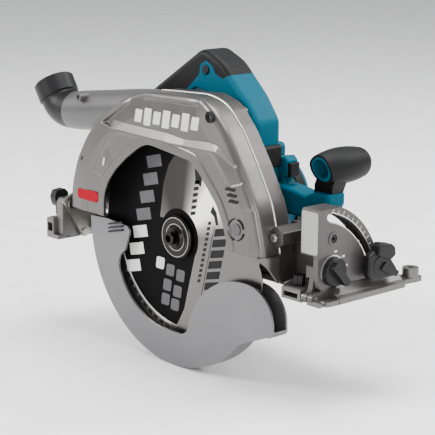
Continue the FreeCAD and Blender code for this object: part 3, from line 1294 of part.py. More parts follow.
def bevel_lever():
    """Front bevel clamp: a chunky hub with a handle pointing down and a wing on top."""
    y, z = polar(BEVEL_Y, BEVEL_Z, BEVEL_SLOT_R, math.degrees(BEVEL_REST))
    x0 = QUADRANT_X1 + GAP
    hub = rod_x(11, x0, x0 + 15, y, z)
    hub = bevel(hub, 1.5, in_plane_x(x0 + 15))
    outline = rounded([(y - 17, z - 9), (y - 17, z + 11), (y - 8, z + 16), (y + 9, z + 13),
                       (y + 17, z + 5), (y + 25, z - 5), (y + 31, z - 14), (y + 21, z - 15.4),
                       (y + 3, z - 15.4), (y - 12, z - 14)], 3)
    handle = slab_x(outline, x0 + 6.6, x0 + 14)
    handle = soften(handle, 2.5, in_plane_x(x0 + 14))
    wing = slab_x(rounded([(y - 7, z + 12), (y - 6, z + 22), (y - 1, z + 24), (y + 14, z + 21),
                           (y + 19, z + 17), (y + 20, z + 8), (y + 12, z + 4)], 3),
                  x0 + 6.6, x0 + 18)
    wing = soften(wing, 2, in_plane_x(x0 + 18))
    ridge = slab_x(rounded([(y - 2, z - 4), (y + 6, z + 3), (y + 28, z - 11), (y + 22, z - 15)],
                           2), x0 + 13, x0 + 17)
    body = fuse(hub, handle, wing, ridge)
    return body.cut(rod_x(3 + FIT, x0 - 1, x0 + 13, y, z))


def rear_bracket():
    """Cast post on the base that carries the rear bevel pin and clamp bolt."""
    x0 = -192.5
    x1 = REAR_TILT_X0 - 0.6
    y, z = REAR_BOLT
    post = slab_x(rounded([(y - 9, 4), (y + 9, 4), (y + 9, z + 1), (y + 4, z + 6),
                           (y - 5, z + 6), (y - 9, z + 1)], 2.5), x0, x1)
    web = slab_x([(y + 5, z - 3), (y + 9, z - 3), (20, 8), (20, 0.5), (y, 0.5), (y, 10)],
                 x0 + 4, x1)
    body = fuse(post, web)
    body = body.cut(rod_x(3 + FIT, x0 - 1, x1 + 1, BEVEL_Y, BEVEL_Z))
    body = body.cut(rod_x(3 + FIT, x0 - 1, x1 + 1, y, z))
    return body.removeSplitter()


def rear_bolt():
    y, z = REAR_BOLT
    head = rod_x(6, REAR_TILT_X1 + GAP, REAR_TILT_X1 + 3, y, z)
    return fuse(head, rod_x(3, -203.3, REAR_TILT_X1 + GAP, y, z))


def rear_lever():
    """Rear bevel clamp lever, a short wing above the post."""
    y, z = REAR_BOLT
    x1 = -192.5 - GAP
    hub = rod_x(8, x1 - 12, x1, y, z)
    handle = slab_x(rounded([(y - 8, z - 3), (y + 8, z - 4), (y + 10, z + 9), (y + 5, z + 14),
                             (y - 7, z + 13), (y - 10, z + 5)], 3), x1 - 13, x1 - 2)
    handle = soften(handle, 2, lambda e: in_plane_x(x1 - 13)(e))
    return fuse(hub, handle).cut(rod_x(3 + FIT, x1 - 11, x1 + 1, y, z))


def depth_bolt_place():
    return polar(PIVOT_X, PIVOT_Z, DEPTH_ARC_R, 180)


def depth_bolt():
    x, z = depth_bolt_place()
    return rod_y(4, CASE_BACK_Y - 3, 46.6, x, z)


def depth_lever():
    """Lever that clamps the saw body on the depth arc."""
    x, z = depth_bolt_place()
    hub = rod_y(10, RAIL_Y1 + GAP, 46, x, z)
    handle = slab_y(rounded([(x - 7, z), (x + 7, z), (x + 7, z - 20), (x - 30, z - 30),
                             (x - 34, z - 20), (x - 10, z - 8)], 3), 38, 48)
    return fuse(hub, handle).cut(rod_y(4 + FIT, 30, 47, x, z))


def depth_pivot_bolt():
    head = rod_y(4.4, PIVOT_FACE_Y - 4.5, PIVOT_FACE_Y, PIVOT_X, PIVOT_Z)
    head = bevel(head, 0.8, in_plane_y(PIVOT_FACE_Y - 4.5))
    head = head.cut(slab_y(hexagon(4, PIVOT_X, PIVOT_Z), PIVOT_FACE_Y - 5, PIVOT_FACE_Y - 1.5))
    shank = rod_y(4, PIVOT_FACE_Y, RAIL_Y1 + 6, PIVOT_X, PIVOT_Z)
    nut = slab_y(hexagon(16, PIVOT_X, PIVOT_Z), RAIL_Y1 + 2, RAIL_Y1 + 6)
    return fuse(head, shank, nut)


# Write every piece ----------------------------------------------------------------------
def pieces():
    front_x, front_y = fence_screw_places()[0]
    rear_x, rear_y = fence_screw_places()[1]
    return {
        "base_plate": base_plate(),
        "bevel_quadrant": bevel_quadrant(),
        "rear_bracket": rear_bracket(),
        "quadrant_screw": quadrant_screw(),
        "bevel_stop_knob": bevel_stop_knob(),
        "front_fence_screw": fence_screw(front_x, front_y, 13),
        "rear_fence_screw": fence_screw(rear_x, rear_y, 24),
        "rear_clamp_bolt": rear_bolt(),
        "rear_clamp_lever": rear_lever(),
        "front_tilt_plate": tilt_plate_front(),
        "rear_tilt_plate": tilt_plate_rear(),
        "depth_guide": depth_guide(),
        "bevel_pins": bevel_pins(),
        "front_clamp_bolt": bevel_bolt(),
        "front_clamp_lever": bevel_lever(),
        "blade_case": blade_case(),
        "blade_cover": blade_cover(),
        "cover_screws": cover_screws(),
        "dust_duct": dust_duct(),
        "dust_nozzle": dust_nozzle(),
        "depth_pivot_bolt": depth_pivot_bolt(),
        "depth_clamp_bolt": depth_bolt(),
        "depth_clamp_lever": depth_lever(),
        "bearing_retainer": bearing_retainer(),
        "guard_spring": guard_spring(),
        "lower_guard": lower_guard(),
        "guard_thumb_pad": guard_thumb_pad(),
        "blade": blade(),
        "blade_tips": blade_tips(),
        "inner_flange": inner_flange(),
        "outer_flange": outer_flange(),
        "blade_bolt": blade_bolt(),
        "spindle": spindle(),
        "bearings": bearings(),
        "drive_gear": drive_gear(),
        "rotor_shaft": rotor_shaft(),
        "rotor_core": rotor_core(),
        "cooling_fan": cooling_fan(),
        "stator": stator(),
        "stator_coils": stator_coils(),
        "gear_cover": gear_cover(),
        "motor_housing": motor_housing().cut(control_board()).cut(battery_terminal()),
        "motor_end_cap": motor_end_cap(),
        "motor_bumper": motor_bumper(),
        "handle_right": cut_screw_holes(handle_shell(HANDLE_Y0, HANDLE_MID_Y)),
        "handle_left": cut_screw_holes(handle_shell(HANDLE_MID_Y, HANDLE_Y1)),
        "handle_rubber": handle_rubber(),
        "handle_screws": handle_screws(),
        "trigger": trigger(),
        "trigger_switch": trigger_switch(),
        "lock_off_bush": lock_off_bush(),
        "lock_off_button": lock_off_button(),
        "front_grip_core": front_grip_core(),
        "front_grip_rubber": front_grip_rubber(),
        "battery_case": battery_case(),
        "battery_cells": battery_cells(),
        "battery_button": battery_button(),
        "battery_terminal": battery_terminal(),
        "control_board": control_board(),
        "shaft_lock": shaft_lock(),
    }


os.makedirs("parts", exist_ok=True)
for name, shape in pieces().items():
    shape.translate(V(0, -SOLE_POINT_Y, 0))
    solids = len(shape.Solids)
    print(name, solids, round(shape.Volume), shape.isValid())
    shape.exportStep("parts/" + name + ".step")
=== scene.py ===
import json
import math

import bmesh
import bpy
from mathutils import Matrix, Vector


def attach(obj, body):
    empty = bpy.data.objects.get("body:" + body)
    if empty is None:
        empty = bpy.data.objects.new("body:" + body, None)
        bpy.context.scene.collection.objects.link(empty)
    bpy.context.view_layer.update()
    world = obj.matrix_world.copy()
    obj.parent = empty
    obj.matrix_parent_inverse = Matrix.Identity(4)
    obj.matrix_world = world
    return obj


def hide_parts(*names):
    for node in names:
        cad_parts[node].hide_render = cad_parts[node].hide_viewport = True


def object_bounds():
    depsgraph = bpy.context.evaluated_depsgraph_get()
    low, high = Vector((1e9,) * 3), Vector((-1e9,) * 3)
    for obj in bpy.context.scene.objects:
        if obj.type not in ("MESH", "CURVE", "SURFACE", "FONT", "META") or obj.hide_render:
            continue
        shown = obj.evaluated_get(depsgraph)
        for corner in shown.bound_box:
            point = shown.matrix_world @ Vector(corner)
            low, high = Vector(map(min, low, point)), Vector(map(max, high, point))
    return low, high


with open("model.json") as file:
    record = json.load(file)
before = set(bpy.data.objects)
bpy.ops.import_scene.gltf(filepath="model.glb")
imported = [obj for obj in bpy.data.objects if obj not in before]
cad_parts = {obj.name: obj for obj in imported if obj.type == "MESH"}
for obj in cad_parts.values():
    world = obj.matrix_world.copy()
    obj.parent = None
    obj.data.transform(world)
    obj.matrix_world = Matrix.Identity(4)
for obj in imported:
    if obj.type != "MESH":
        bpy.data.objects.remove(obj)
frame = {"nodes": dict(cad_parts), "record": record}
cad_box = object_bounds()

NODES = frame["nodes"]
SLOT_OF = {s["node"]: s["material_slot"] for s in frame["record"]["subparts"]}

# Places in millimetres, measured from the arbor's point on the sole: X forward, Y from the
# blade to the motor, Z up. The frame's origin lies on the sole, beside the blade.
ORIGIN_Y = 80.0
ARBOR_Z = 34.0


def at(x, y, z):
    return Vector((x, y - ORIGIN_Y, z)) / 1000.0


# Materials ------------------------------------------------------------------------------
def principled(name, colour, rough, metal=0.0, coat=0.0, spec=0.5):
    mat = bpy.data.materials.new(name)
    mat.use_nodes = True
    shader = mat.node_tree.nodes["Principled BSDF"]
    shader.inputs["Base Color"].default_value = (*colour, 1.0)
    shader.inputs["Roughness"].default_value = rough
    shader.inputs["Metallic"].default_value = metal
    shader.inputs["Coat Weight"].default_value = coat
    shader.inputs["Coat Roughness"].default_value = 0.25
    shader.inputs["Specular IOR Level"].default_value = spec
    return mat


def node(mat, kind, **sockets):
    made = mat.node_tree.nodes.new(kind)
    for key, value in sockets.items():
        made.inputs[key.replace("_", " ")].default_value = value
    return made


def link(mat, source, out, target, into):
    mat.node_tree.links.new(source.outputs[out], target.inputs[into])


def shader_of(mat):
    return mat.node_tree.nodes["Principled BSDF"]


def mottled(mat, colour, amount, scale, stretch=(1, 1, 1)):
    """Base colour that wanders a little about one value."""
    place = node(mat, "ShaderNodeTexCoord")
    spread = node(mat, "ShaderNodeMapping")
    spread.inputs["Scale"].default_value = stretch
    noise = node(mat, "ShaderNodeTexNoise", Scale=scale, Detail=5.0, Roughness=0.6)
    ramp = node(mat, "ShaderNodeValToRGB")
    ramp.color_ramp.elements[0].position = 0.3
    ramp.color_ramp.elements[1].position = 0.7
    low = [c * (1 - amount) for c in colour]
    high = [min(1.0, c * (1 + amount)) for c in colour]
    ramp.color_ramp.elements[0].color = (*low, 1)
    ramp.color_ramp.elements[1].color = (*high, 1)
    link(mat, place, "Object", spread, "Vector")
    link(mat, spread, "Vector", noise, "Vector")
    link(mat, noise, "Fac", ramp, "Fac")
    link(mat, ramp, "Color", shader_of(mat), "Base Color")
    return mat


def grained(mat, scale, strength, distance, stretch=(1, 1, 1)):
    """Fine relief: casting texture, moulded texture or grinding lines."""
    place = node(mat, "ShaderNodeTexCoord")
    spread = node(mat, "ShaderNodeMapping")
    spread.inputs["Scale"].default_value = stretch
    noise = node(mat, "ShaderNodeTexNoise", Scale=scale, Detail=3.0, Roughness=0.6)
    bump = node(mat, "ShaderNodeBump", Strength=strength, Distance=distance)
    link(mat, place, "Object", spread, "Vector")
    link(mat, spread, "Vector", noise, "Vector")
    link(mat, noise, "Fac", bump, "Height")
    link(mat, bump, "Normal", shader_of(mat), "Normal")
    return mat


def rough_spread(mat, low, high, scale, stretch=(1, 1, 1)):
    """Roughness that wanders between two values."""
    place = node(mat, "ShaderNodeTexCoord")
    spread = node(mat, "ShaderNodeMapping")
    spread.inputs["Scale"].default_value = stretch
    noise = node(mat, "ShaderNodeTexNoise", Scale=scale, Detail=4.0, Roughness=0.55)
    ramp = node(mat, "ShaderNodeMapRange")
    ramp.inputs["To Min"].default_value = low
    ramp.inputs["To Max"].default_value = high
    link(mat, place, "Object", spread, "Vector")
    link(mat, spread, "Vector", noise, "Vector")
    link(mat, noise, "Fac", ramp, "Value")
    link(mat, ramp, "Result", shader_of(mat), "Roughness")
    return mat


def cast_metal(name, colour, rough, metal, coat=0.0):
    mat = principled(name, colour, rough, metal, coat)
    mottled(mat, colour, 0.06, 28)
    rough_spread(mat, rough - 0.05, rough + 0.07, 60)
    return grained(mat, 1400, 0.12, 0.00025)


def moulded(name, colour, rough, relief=0.12, coat=0.0):
    mat = principled(name, colour, rough, 0.0, coat)
    mottled(mat, colour, 0.05, 22)
    rough_spread(mat, rough - 0.05, rough + 0.08, 45)
    return grained(mat, 2600, relief, 0.00025)


def turned_steel(name, colour, rough, stretch=(60, 1, 60)):
    mat = principled(name, colour, rough, 1.0)
    mottled(mat, colour, 0.1, 30, stretch)
    return rough_spread(mat, rough - 0.06, rough + 0.1, 60, stretch)


def make_materials():
    m = {
        "zinc_plate": turned_steel("zinc_plate", (0.30, 0.29, 0.25), 0.36, (8, 40, 8)),
        "base_alloy": cast_metal("base_alloy", (0.135, 0.128, 0.123), 0.38, 0.8),
        "grey_paint": cast_metal("grey_paint", (0.118, 0.111, 0.108), 0.34, 0.85),
        "quadrant_alloy": cast_metal("quadrant_alloy", (0.088, 0.083, 0.082), 0.42, 0.7),
        "alloy_case": cast_metal("alloy_case", (0.075, 0.069, 0.066), 0.36, 0.8),
        "guard_alloy": cast_metal("guard_alloy", (0.165, 0.160, 0.165), 0.40, 0.75),
        "blade_steel": ground_blade_painted_reflection("blade_steel"),
        "carbide": turned_steel("carbide", (0.32, 0.31, 0.31), 0.3),
        "machined_steel": turned_steel("machined_steel", (0.30, 0.29, 0.28), 0.28),
        "dark_steel": turned_steel("dark_steel", (0.022, 0.019, 0.018), 0.30),
        "black_screw": turned_steel("black_screw", (0.03, 0.028, 0.03), 0.36),
        "spring_steel": turned_steel("spring_steel", (0.25, 0.25, 0.27), 0.3),
        "black_plastic": moulded("black_plastic", (0.007, 0.0068, 0.0075), 0.42),
        "duct_plastic": moulded("duct_plastic", (0.055, 0.052, 0.053), 0.36, 0.05),
        "teal_plastic": moulded("teal_plastic", (0.0, 0.080, 0.125), 0.45, 0.1),
        "black_rubber": moulded("black_rubber", (0.006, 0.006, 0.0065), 0.5, 0.35),
        "fan_plastic": moulded("fan_plastic", (0.5, 0.48, 0.42), 0.5),
        "lamination": turned_steel("lamination", (0.2, 0.2, 0.21), 0.4, (4, 400, 4)),
        "copper": turned_steel("copper", (0.55, 0.22, 0.08), 0.3, (6, 60, 6)),
        "cell_wrap": moulded("cell_wrap", (0.05, 0.22, 0.12), 0.35, 0.02),
        "circuit": moulded("circuit", (0.02, 0.16, 0.07), 0.4, 0.2),
        # lighter copy of the quadrant metal: painted light on the lit side of its end block
        "block_alloy": cast_metal("block_alloy", (0.36, 0.355, 0.35), 0.42, 0.6),
        # lighter copy of the cast metal, used for painted highlights along edges and lips
        "bright_edge": cast_metal("bright_edge", (0.62, 0.61, 0.60), 0.3, 0.8),
        "badge_red": moulded("badge_red", (0.27, 0.001, 0.010), 0.5, 0.02),
        "mark_light": moulded("mark_light", (0.60, 0.59, 0.58), 0.5, 0.02),
        "mark_grey": moulded("mark_grey", (0.085, 0.082, 0.085), 0.5, 0.02),
        "mark_dark": moulded("mark_dark", (0.012, 0.012, 0.013), 0.5, 0.02),
        "coating": moulded("coating", (0.003, 0.0028, 0.003), 0.6, 0.05),
    }
    shine = {"coating": 0.04, "teal_plastic": 0.07, "black_plastic": 0.2, "black_rubber": 0.14,
             "badge_red": 0.06, "mark_grey": 0.1, "mark_dark": 0.1}
    for name, level in shine.items():
        shader_of(m[name]).inputs["Specular IOR Level"].default_value = level
    return m


def ground_blade_painted_reflection(name):
    """Ground steel: fine rings round the arbor, and bright and dark sectors of painted
    reflection in its base colour.
    """
    mat = principled(name, (0.46, 0.44, 0.43), 0.3, 1.0)
    tree = mat.node_tree
    place = node(mat, "ShaderNodeTexCoord")
    centred = node(mat, "ShaderNodeVectorMath")
    centred.operation = "SUBTRACT"
    centred.inputs[1].default_value = at(0, 0, ARBOR_Z)
    split = node(mat, "ShaderNodeSeparateXYZ")
    radius = node(mat, "ShaderNodeVectorMath")
    radius.operation = "LENGTH"
    link(mat, place, "Object", centred, 0)
    link(mat, centred, "Vector", split, "Vector")
    link(mat, centred, "Vector", radius, 0)
    rings = node(mat, "ShaderNodeTexNoise", Scale=1500.0, Detail=4.0)
    rings.noise_dimensions = "1D"
    link(mat, radius, "Value", rings, "W")
    rough = node(mat, "ShaderNodeMapRange")
    rough.inputs["To Min"].default_value = 0.2
    rough.inputs["To Max"].default_value = 0.42
    link(mat, rings, "Fac", rough, "Value")
    link(mat, rough, "Result", shader_of(mat), "Roughness")
    bump = node(mat, "ShaderNodeBump", Strength=0.12, Distance=0.0002)
    link(mat, rings, "Fac", bump, "Height")
    link(mat, bump, "Normal", shader_of(mat), "Normal")
    angle = node(mat, "ShaderNodeMath")
    angle.operation = "ARCTAN2"
    link(mat, split, "Z", angle, 0)
    link(mat, split, "X", angle, 1)
    share = node(mat, "ShaderNodeMapRange")
    share.inputs["From Min"].default_value = -math.pi
    share.inputs["From Max"].default_value = math.pi
    link(mat, angle, "Value", share, "Value")
    # painted reflection: the base colour follows the angle round the arbor, in light and dark
    # sectors
    painted_reflection = node(mat, "ShaderNodeValToRGB")
    stops = painted_reflection.color_ramp.elements
    stops[0].color = (0.10, 0.097, 0.094, 1)
    stops[1].color = (0.10, 0.097, 0.094, 1)
    for degrees, level in PAINTED_REFLECTION:
        stops.new((degrees + 180) / 360).color = (level, 0.97 * level, 0.94 * level, 1)
    link(mat, share, "Result", painted_reflection, "Fac")
    link(mat, painted_reflection, "Color", shader_of(mat), "Base Color")
    return mat


# painted reflection: how bright the ground steel's colour is set round the arbor: degrees,
# level
PAINTED_REFLECTION = [(-162, 0.10), (-152, 0.75), (-104, 0.75), (-90, 0.15), (8, 0.13), (22, 0.32),
         (34, 0.95), (52, 1.0), (61, 0.40), (72, 0.15), (82, 0.034), (114, 0.030), (150, 0.10)]
MATERIALS = make_materials()


def finish_in(obj, slot, material=None):
    obj.data.materials.clear()
    obj.data.materials.append(MATERIALS[material or slot])
    return obj


# CAD nodes that look different from the rest of their material slot
OWN_FINISH = {"outer_flange": "dark_steel", "blade_bolt": "dark_steel",
              "bevel_quadrant": "quadrant_alloy", "front_tilt_plate": "quadrant_alloy",
              "depth_guide": "alloy_case",
              "front_fence_screw": "black_screw", "rear_fence_screw": "black_screw"}
for name, obj in NODES.items():
    finish_in(obj, SLOT_OF[name], OWN_FINISH.get(name))


# Flat pieces ----------------------------------------------------------------------------
def prism(name, outline, axis, low, high, body, slot, material=None, edge=0.0):
    """Solid with the outline in the plane across one axis, between two heights."""
    place = {
        "y": lambda u, v, h: at(u, h, v),
        "x": lambda u, v, h: at(h, u, v),
        "z": lambda u, v, h: at(u, v, h),
    }[axis]
    mesh = bpy.data.meshes.new(name)
    shape = bmesh.new()
    ring = [shape.verts.new(place(u, v, low)) for u, v in outline]
    cap = shape.faces.new(ring)
    made = bmesh.ops.extrude_face_region(shape, geom=[cap])
    moved = [e for e in made["geom"] if isinstance(e, bmesh.types.BMVert)]
    bmesh.ops.translate(shape, verts=moved, vec=place(0, 0, high) - place(0, 0, low))
    bmesh.ops.recalc_face_normals(shape, faces=shape.faces)
    if edge:
        rim = [e for e in shape.edges if e.calc_face_angle(0) > 0.6]
        bmesh.ops.bevel(shape, geom=rim, offset=edge / 1000, segments=2, affect="EDGES")
    shape.to_mesh(mesh)
    shape.free()
    obj = bpy.data.objects.new(name, mesh)
    bpy.context.scene.collection.objects.link(obj)
    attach(obj, body)
    return finish_in(obj, slot, material)


def polar(centre, radius, degrees):
    angle = math.radians(degrees)
    return (centre[0] + radius * math.cos(angle), centre[1] + radius * math.sin(angle))


def arc(centre, radius, start, end, steps=24):
    return [polar(centre, radius, start + (end - start) * i / steps) for i in range(steps + 1)]


def ring_part(centre, inner, outer, start, end, steps=24):
    return arc(centre, outer, start, end, steps) + arc(centre, inner, end, start, steps)


def rounded_box(u, v, width, height, radius, lean=0.0):
    """Rectangle about (u, v) with round corners, its upper side shifted by lean."""
    points = []
    for du, dv, start in ((1, 1, 0), (-1, 1, 90), (-1, -1, 180), (1, -1, 270)):
        centre = (du * (width / 2 - radius), dv * (height / 2 - radius))
        for x, z in arc(centre, radius, start, start + 90, 5):
            points.append((u + x + lean * z / height, v + z))
    return points


# Upper cover ----------------------------------------------------------------------------
COVER_FACE_Y = -24.0
COVER_PARTING_Y = 4.0
COVER_EDGE_Z = 42.0
COVER_WALL = 2.8
COVER_CORNER_R = 80.0
COVER_CORNERS = [(-170, -40), (-169.5, 66), (-159, 99), (-140, 130), (-113, 156), (-72, 180),
                 (-34, 191), (46, 195), (72, 187), (95, 163), (117, 130), (139, 92), (151, 48),
                 (151, -40)]
WINDOW = [(-105, 32), (-104, 66), (-96, 83), (-83, 98), (-64, 114), (-43, 128), (-33, 133),
          (-22, 134.5), (36, 127.5), (45, 126), (53, 120), (84, 87), (94, 68), (100, 49),
          (103, 32)]
# name panel: corners, and how wide the slope is that starts at each corner's side
PANEL = [(-112, 148, 3), (-88, 144, 9), (0, 142, 9), (30, 139, 9), (60, 141, 9),
         (82, 142, 9), (122, 122, 24), (100, 150, 20), (66, 184, 8), (60, 189, 4),
         (-40, 186, 3), (-60, 180, 3)]
PANEL_DEPTH = 4.0
# low plates either side of the window, with the same kind of list
LEFT_PLATE = [(-99, 130, 1.4), (-124, 90, 1.4), (-98, 84, 5), (-86, 102, 9)]
RIGHT_PLATE = [(108, 86, 1.2), (140, 89, 1.2), (135, 112, 1.2), (126, 117, 2), (96, 108, 8)]
PLATE_RISE = 1.0


def rounded_line(corners, radius):
    """Points along an open line with every inner corner turned into an arc."""
    line = [Vector(corners[0])]
    for i in range(1, len(corners) - 1):
        before, here, after = (Vector(corners[k]) for k in (i - 1, i, i + 1))
        back = (before - here).normalized()
        on = (after - here).normalized()
        half = math.acos(max(-1, min(1, back.dot(on)))) / 2
        reach = min(radius / math.tan(half), (before - here).length * 0.48,
                    (after - here).length * 0.48)
        start, end = here + back * reach, here + on * reach
        for k in range(9):
            t = k / 8
            line.append(start * (1 - t) ** 2 + here * 2 * t * (1 - t) + end * t ** 2)
    line.append(Vector(corners[-1]))
    return line


def reach_along(line, centre, angle):
    """Distance from the centre to the line in one direction."""
    way = Vector((math.cos(angle), math.sin(angle)))
    normal = Vector((-way.y, way.x))
    for a, b in zip(line, line[1:]):
        da, db = (a - centre).dot(normal), (b - centre).dot(normal)
        if (da <= 0 <= db or db <= 0 <= da) and abs(da - db) > 1e-9:
            hit = a + (b - a) * (da / (da - db))
            if (hit - centre).dot(way) > 0:
                return (hit - centre).length
    raise ValueError("line not met")


def share_of(area, x, z):
    """0 outside an area, rising over the slopes at its sides to 1 on its flat middle."""
    share = 1.0
    count = len(area)
    inside = False
    for i in range(count):
        ax, az, width = area[i]
        bx, bz, _ = area[(i + 1) % count]
        if (az > z) != (bz > z) and x < ax + (z - az) * (bx - ax) / (bz - az):
            inside = not inside
        length = math.hypot(bx - ax, bz - az)
        t = max(0, min(1, ((x - ax) * (bx - ax) + (z - az) * (bz - az)) / length ** 2))
        gap = math.hypot(x - ax - t * (bx - ax), z - az - t * (bz - az))
        share = min(share, gap / width)
    return share if inside else 0.0


def eased(t):
    t = max(0.0, min(1.0, t))
    return t * t * (3 - 2 * t)


def cover_height(x, z, from_rim, from_window):
    """Y of the cover's outer skin: raised window frame, panel, soft outer band."""
    y = COVER_FACE_Y + PANEL_DEPTH * share_of(PANEL, x, z)
    y -= PLATE_RISE * (share_of(LEFT_PLATE, x, z) + share_of(RIGHT_PLATE, x, z))
    y += 1.0 * eased((from_window - 9) / 2.5) * (1 - eased((from_window - 26) / 8)) \
        * (1 - eased((z - 138) / 4))
    band = 17.0
    if from_rim < band:
        y += 2.2 * (1 - from_rim / band)
    return y


def cover_columns():
    """Rows of points from the window's edge over the face and round the rim to the wall."""
    centre = Vector((0, COVER_EDGE_Z))
    outline = rounded_line(COVER_CORNERS, COVER_CORNER_R)
    window = rounded_line(WINDOW, 45)
    steps = 420
    face_rows = 84
    for i in range(steps + 1):
        angle = math.pi * i / steps
        way = Vector((math.cos(angle), math.sin(angle)))
        outer = reach_along(outline, centre, angle)
        inner = reach_along(window, centre, angle)
        column = []
        for drop in (3.0, 0.8):
            spot = centre + way * (inner + 0.15)
            column.append((spot.x, COVER_FACE_Y + drop, spot.y))
        flat = outer - 7.0
        for k in range(face_rows + 1):
            r = inner + 0.8 + (flat - inner - 0.8) * k / face_rows
            spot = centre + way * r
            y = cover_height(spot.x, spot.y, outer - r - 7.0, r - inner)
            column.append((spot.x, y, spot.y))
        edge_y = column[-1][1]
        for k in range(1, 7):
            turn = math.pi / 2 * k / 6
            spot = centre + way * (flat + 7.0 * math.sin(turn))
            column.append((spot.x, edge_y + (COVER_FACE_Y + 9 - edge_y)
                           * (1 - math.cos(turn)), spot.y))
        rim = centre + way * outer
        for y in (-10.0, -4.0, COVER_PARTING_Y - 1.2, COVER_PARTING_Y - 0.6):
            column.append((rim.x, y, rim.y))
        yield column


def toe_columns():
    """The front wall below the cover's edge: its lower edge slants down to the toe."""
    toe_z = 13.5
    for i in range(13):
        column = []
        for y, inward in ((-22.6, 7), (-21.4, 4.4), (-19, 2), (-15, 0), (-10, 0), (-4, 0),
                          (-1, 0), (COVER_PARTING_Y - 0.6, 0)):
            low = max(toe_z, COVER_EDGE_Z - (y - COVER_FACE_Y) * 28.5 / 23)
            z = COVER_EDGE_Z + 0.2 - (COVER_EDGE_Z + 0.2 - low) * i / 12
            column.append((151 - inward, y, z))
        yield column


def skin(name, columns, thickness, body, slot, material=None):
    """Closed sheet through a grid of points, thickened away from its outside."""
    columns = [list(c) for c in columns]
    mesh = bpy.data.meshes.new(name)
    verts = [at(*p) for c in columns for p in c]
    rows = len(columns[0])
    faces = []
    for i in range(len(columns) - 1):
        for k in range(rows - 1):
            a = i * rows + k
            faces.append((a, a + 1, a + rows + 1, a + rows))
    mesh.from_pydata(verts, [], faces)
    mesh.validate()
    obj = bpy.data.objects.new(name, mesh)
    bpy.context.scene.collection.objects.link(obj)
    thick = obj.modifiers.new("wall", "SOLIDIFY")
    thick.thickness = thickness / 1000
    thick.offset = -1
    thick.use_even_offset = False
    for face in mesh.polygons:
        face.use_smooth = True
    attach(obj, body)
    return finish_in(obj, slot, material)


MOTOR_X = 18.0
MOTOR_Z = 66.04
MOTOR_END_Y = 138.0


def upper_cover():
    slot = SLOT_OF["blade_cover"]
    shell = skin("cover_shell", cover_columns(), COVER_WALL, "saw_body", slot)
    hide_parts("blade_cover")
    skin("cover_toe", toe_columns(), COVER_WALL, "saw_body", slot)
    # thin lip along the parting line, in a lighter copy of the cover metal: a painted
    # highlight
    outline = rounded_line(COVER_CORNERS, COVER_CORNER_R)
    centre = Vector((0, COVER_EDGE_Z))
    lip = []
    for i in range(181):
        angle = math.pi * i / 180
        way = Vector((math.cos(angle), math.sin(angle)))
        rim = centre + way * reach_along(outline, centre, angle)
        column = []
        for y, out in ((3.2, -1.5), (3.2, 0.7), (4.0, 0.9), (4.9, 0.7), (4.9, -1.5)):
            spot = rim + way * out
            column.append((spot.x, y, spot.y))
        lip.append(column)
    skin("parting_lip", lip, 0.4, "saw_body", slot, "bright_edge")


def cover_marks():
    y = COVER_FACE_Y
    slot = SLOT_OF["blade_cover"]
    badge = [(-152, 57), (-148, 55), (-118, 55), (-112, 60), (-113, 65), (-118, 67.5),
             (-148, 67.5), (-152, 65)]
    prism("red_badge", badge, "y", y - 0.2, y + 3, "saw_body", slot, "badge_red", 0.4)
    ring = (114, 66)
    for k in range(4):
        part = ring_part(ring, 10.6, 12, 12 + 90 * k, 78 + 90 * k, 10)
        prism(f"ring_mark_{k}", part, "y", y - 0.15, y + 2, "saw_body", slot, "mark_dark")
    part = arc(ring, 6.5, 0, 345, 24)
    prism("ring_mark_disc", part, "y", y - 0.15, y + 2, "saw_body", slot, "mark_grey")
    for k in range(3):
        bar = rounded_box(106 + 2.5 * k, 107 - 6 * k, 13, 3.2, 0.8, 2)
        prism(f"panel_mark_{k}", bar, "y", y - 1.2, y + 4, "saw_body", slot, "mark_dark")
    for k in range(7):
        u, v = -46 + 15.4 * k, 163.5 + 0.5 * k
        bar = rounded_box(u, v, 11.2, 19 if k % 2 else 14, 1.0, 3)
        panel_y = y + PANEL_DEPTH
        prism(f"name_bar_{k}", bar, "y", panel_y - 0.2, panel_y + 1, "saw_body", slot,
              "mark_light")
    # dark pieces in the screw well and in the recess at the edge: painted shade
    well = ring_part((72, 177), 4.2, 6.2, 0, 359, 30)
    prism("screw_well", well, "y", y + 0.5, y + 4, "saw_body", slot, "mark_dark")
    recess = arc((-143.5, 101.5), 3.4, 0, 345, 20)
    prism("edge_recess", recess, "y", y + 1.6, y + 9, "saw_body", slot, "mark_dark")
    tick = rounded_box(-102, 105, 2, 9, 0.9, 2)
    prism("cover_tick", tick, "y", y - 1.15, y + 3, "saw_body", slot, "mark_light")


# Blade ----------------------------------------------------------------------------------
BLADE_FACE_Y = -0.8
HUB = (0.0, ARBOR_Z)


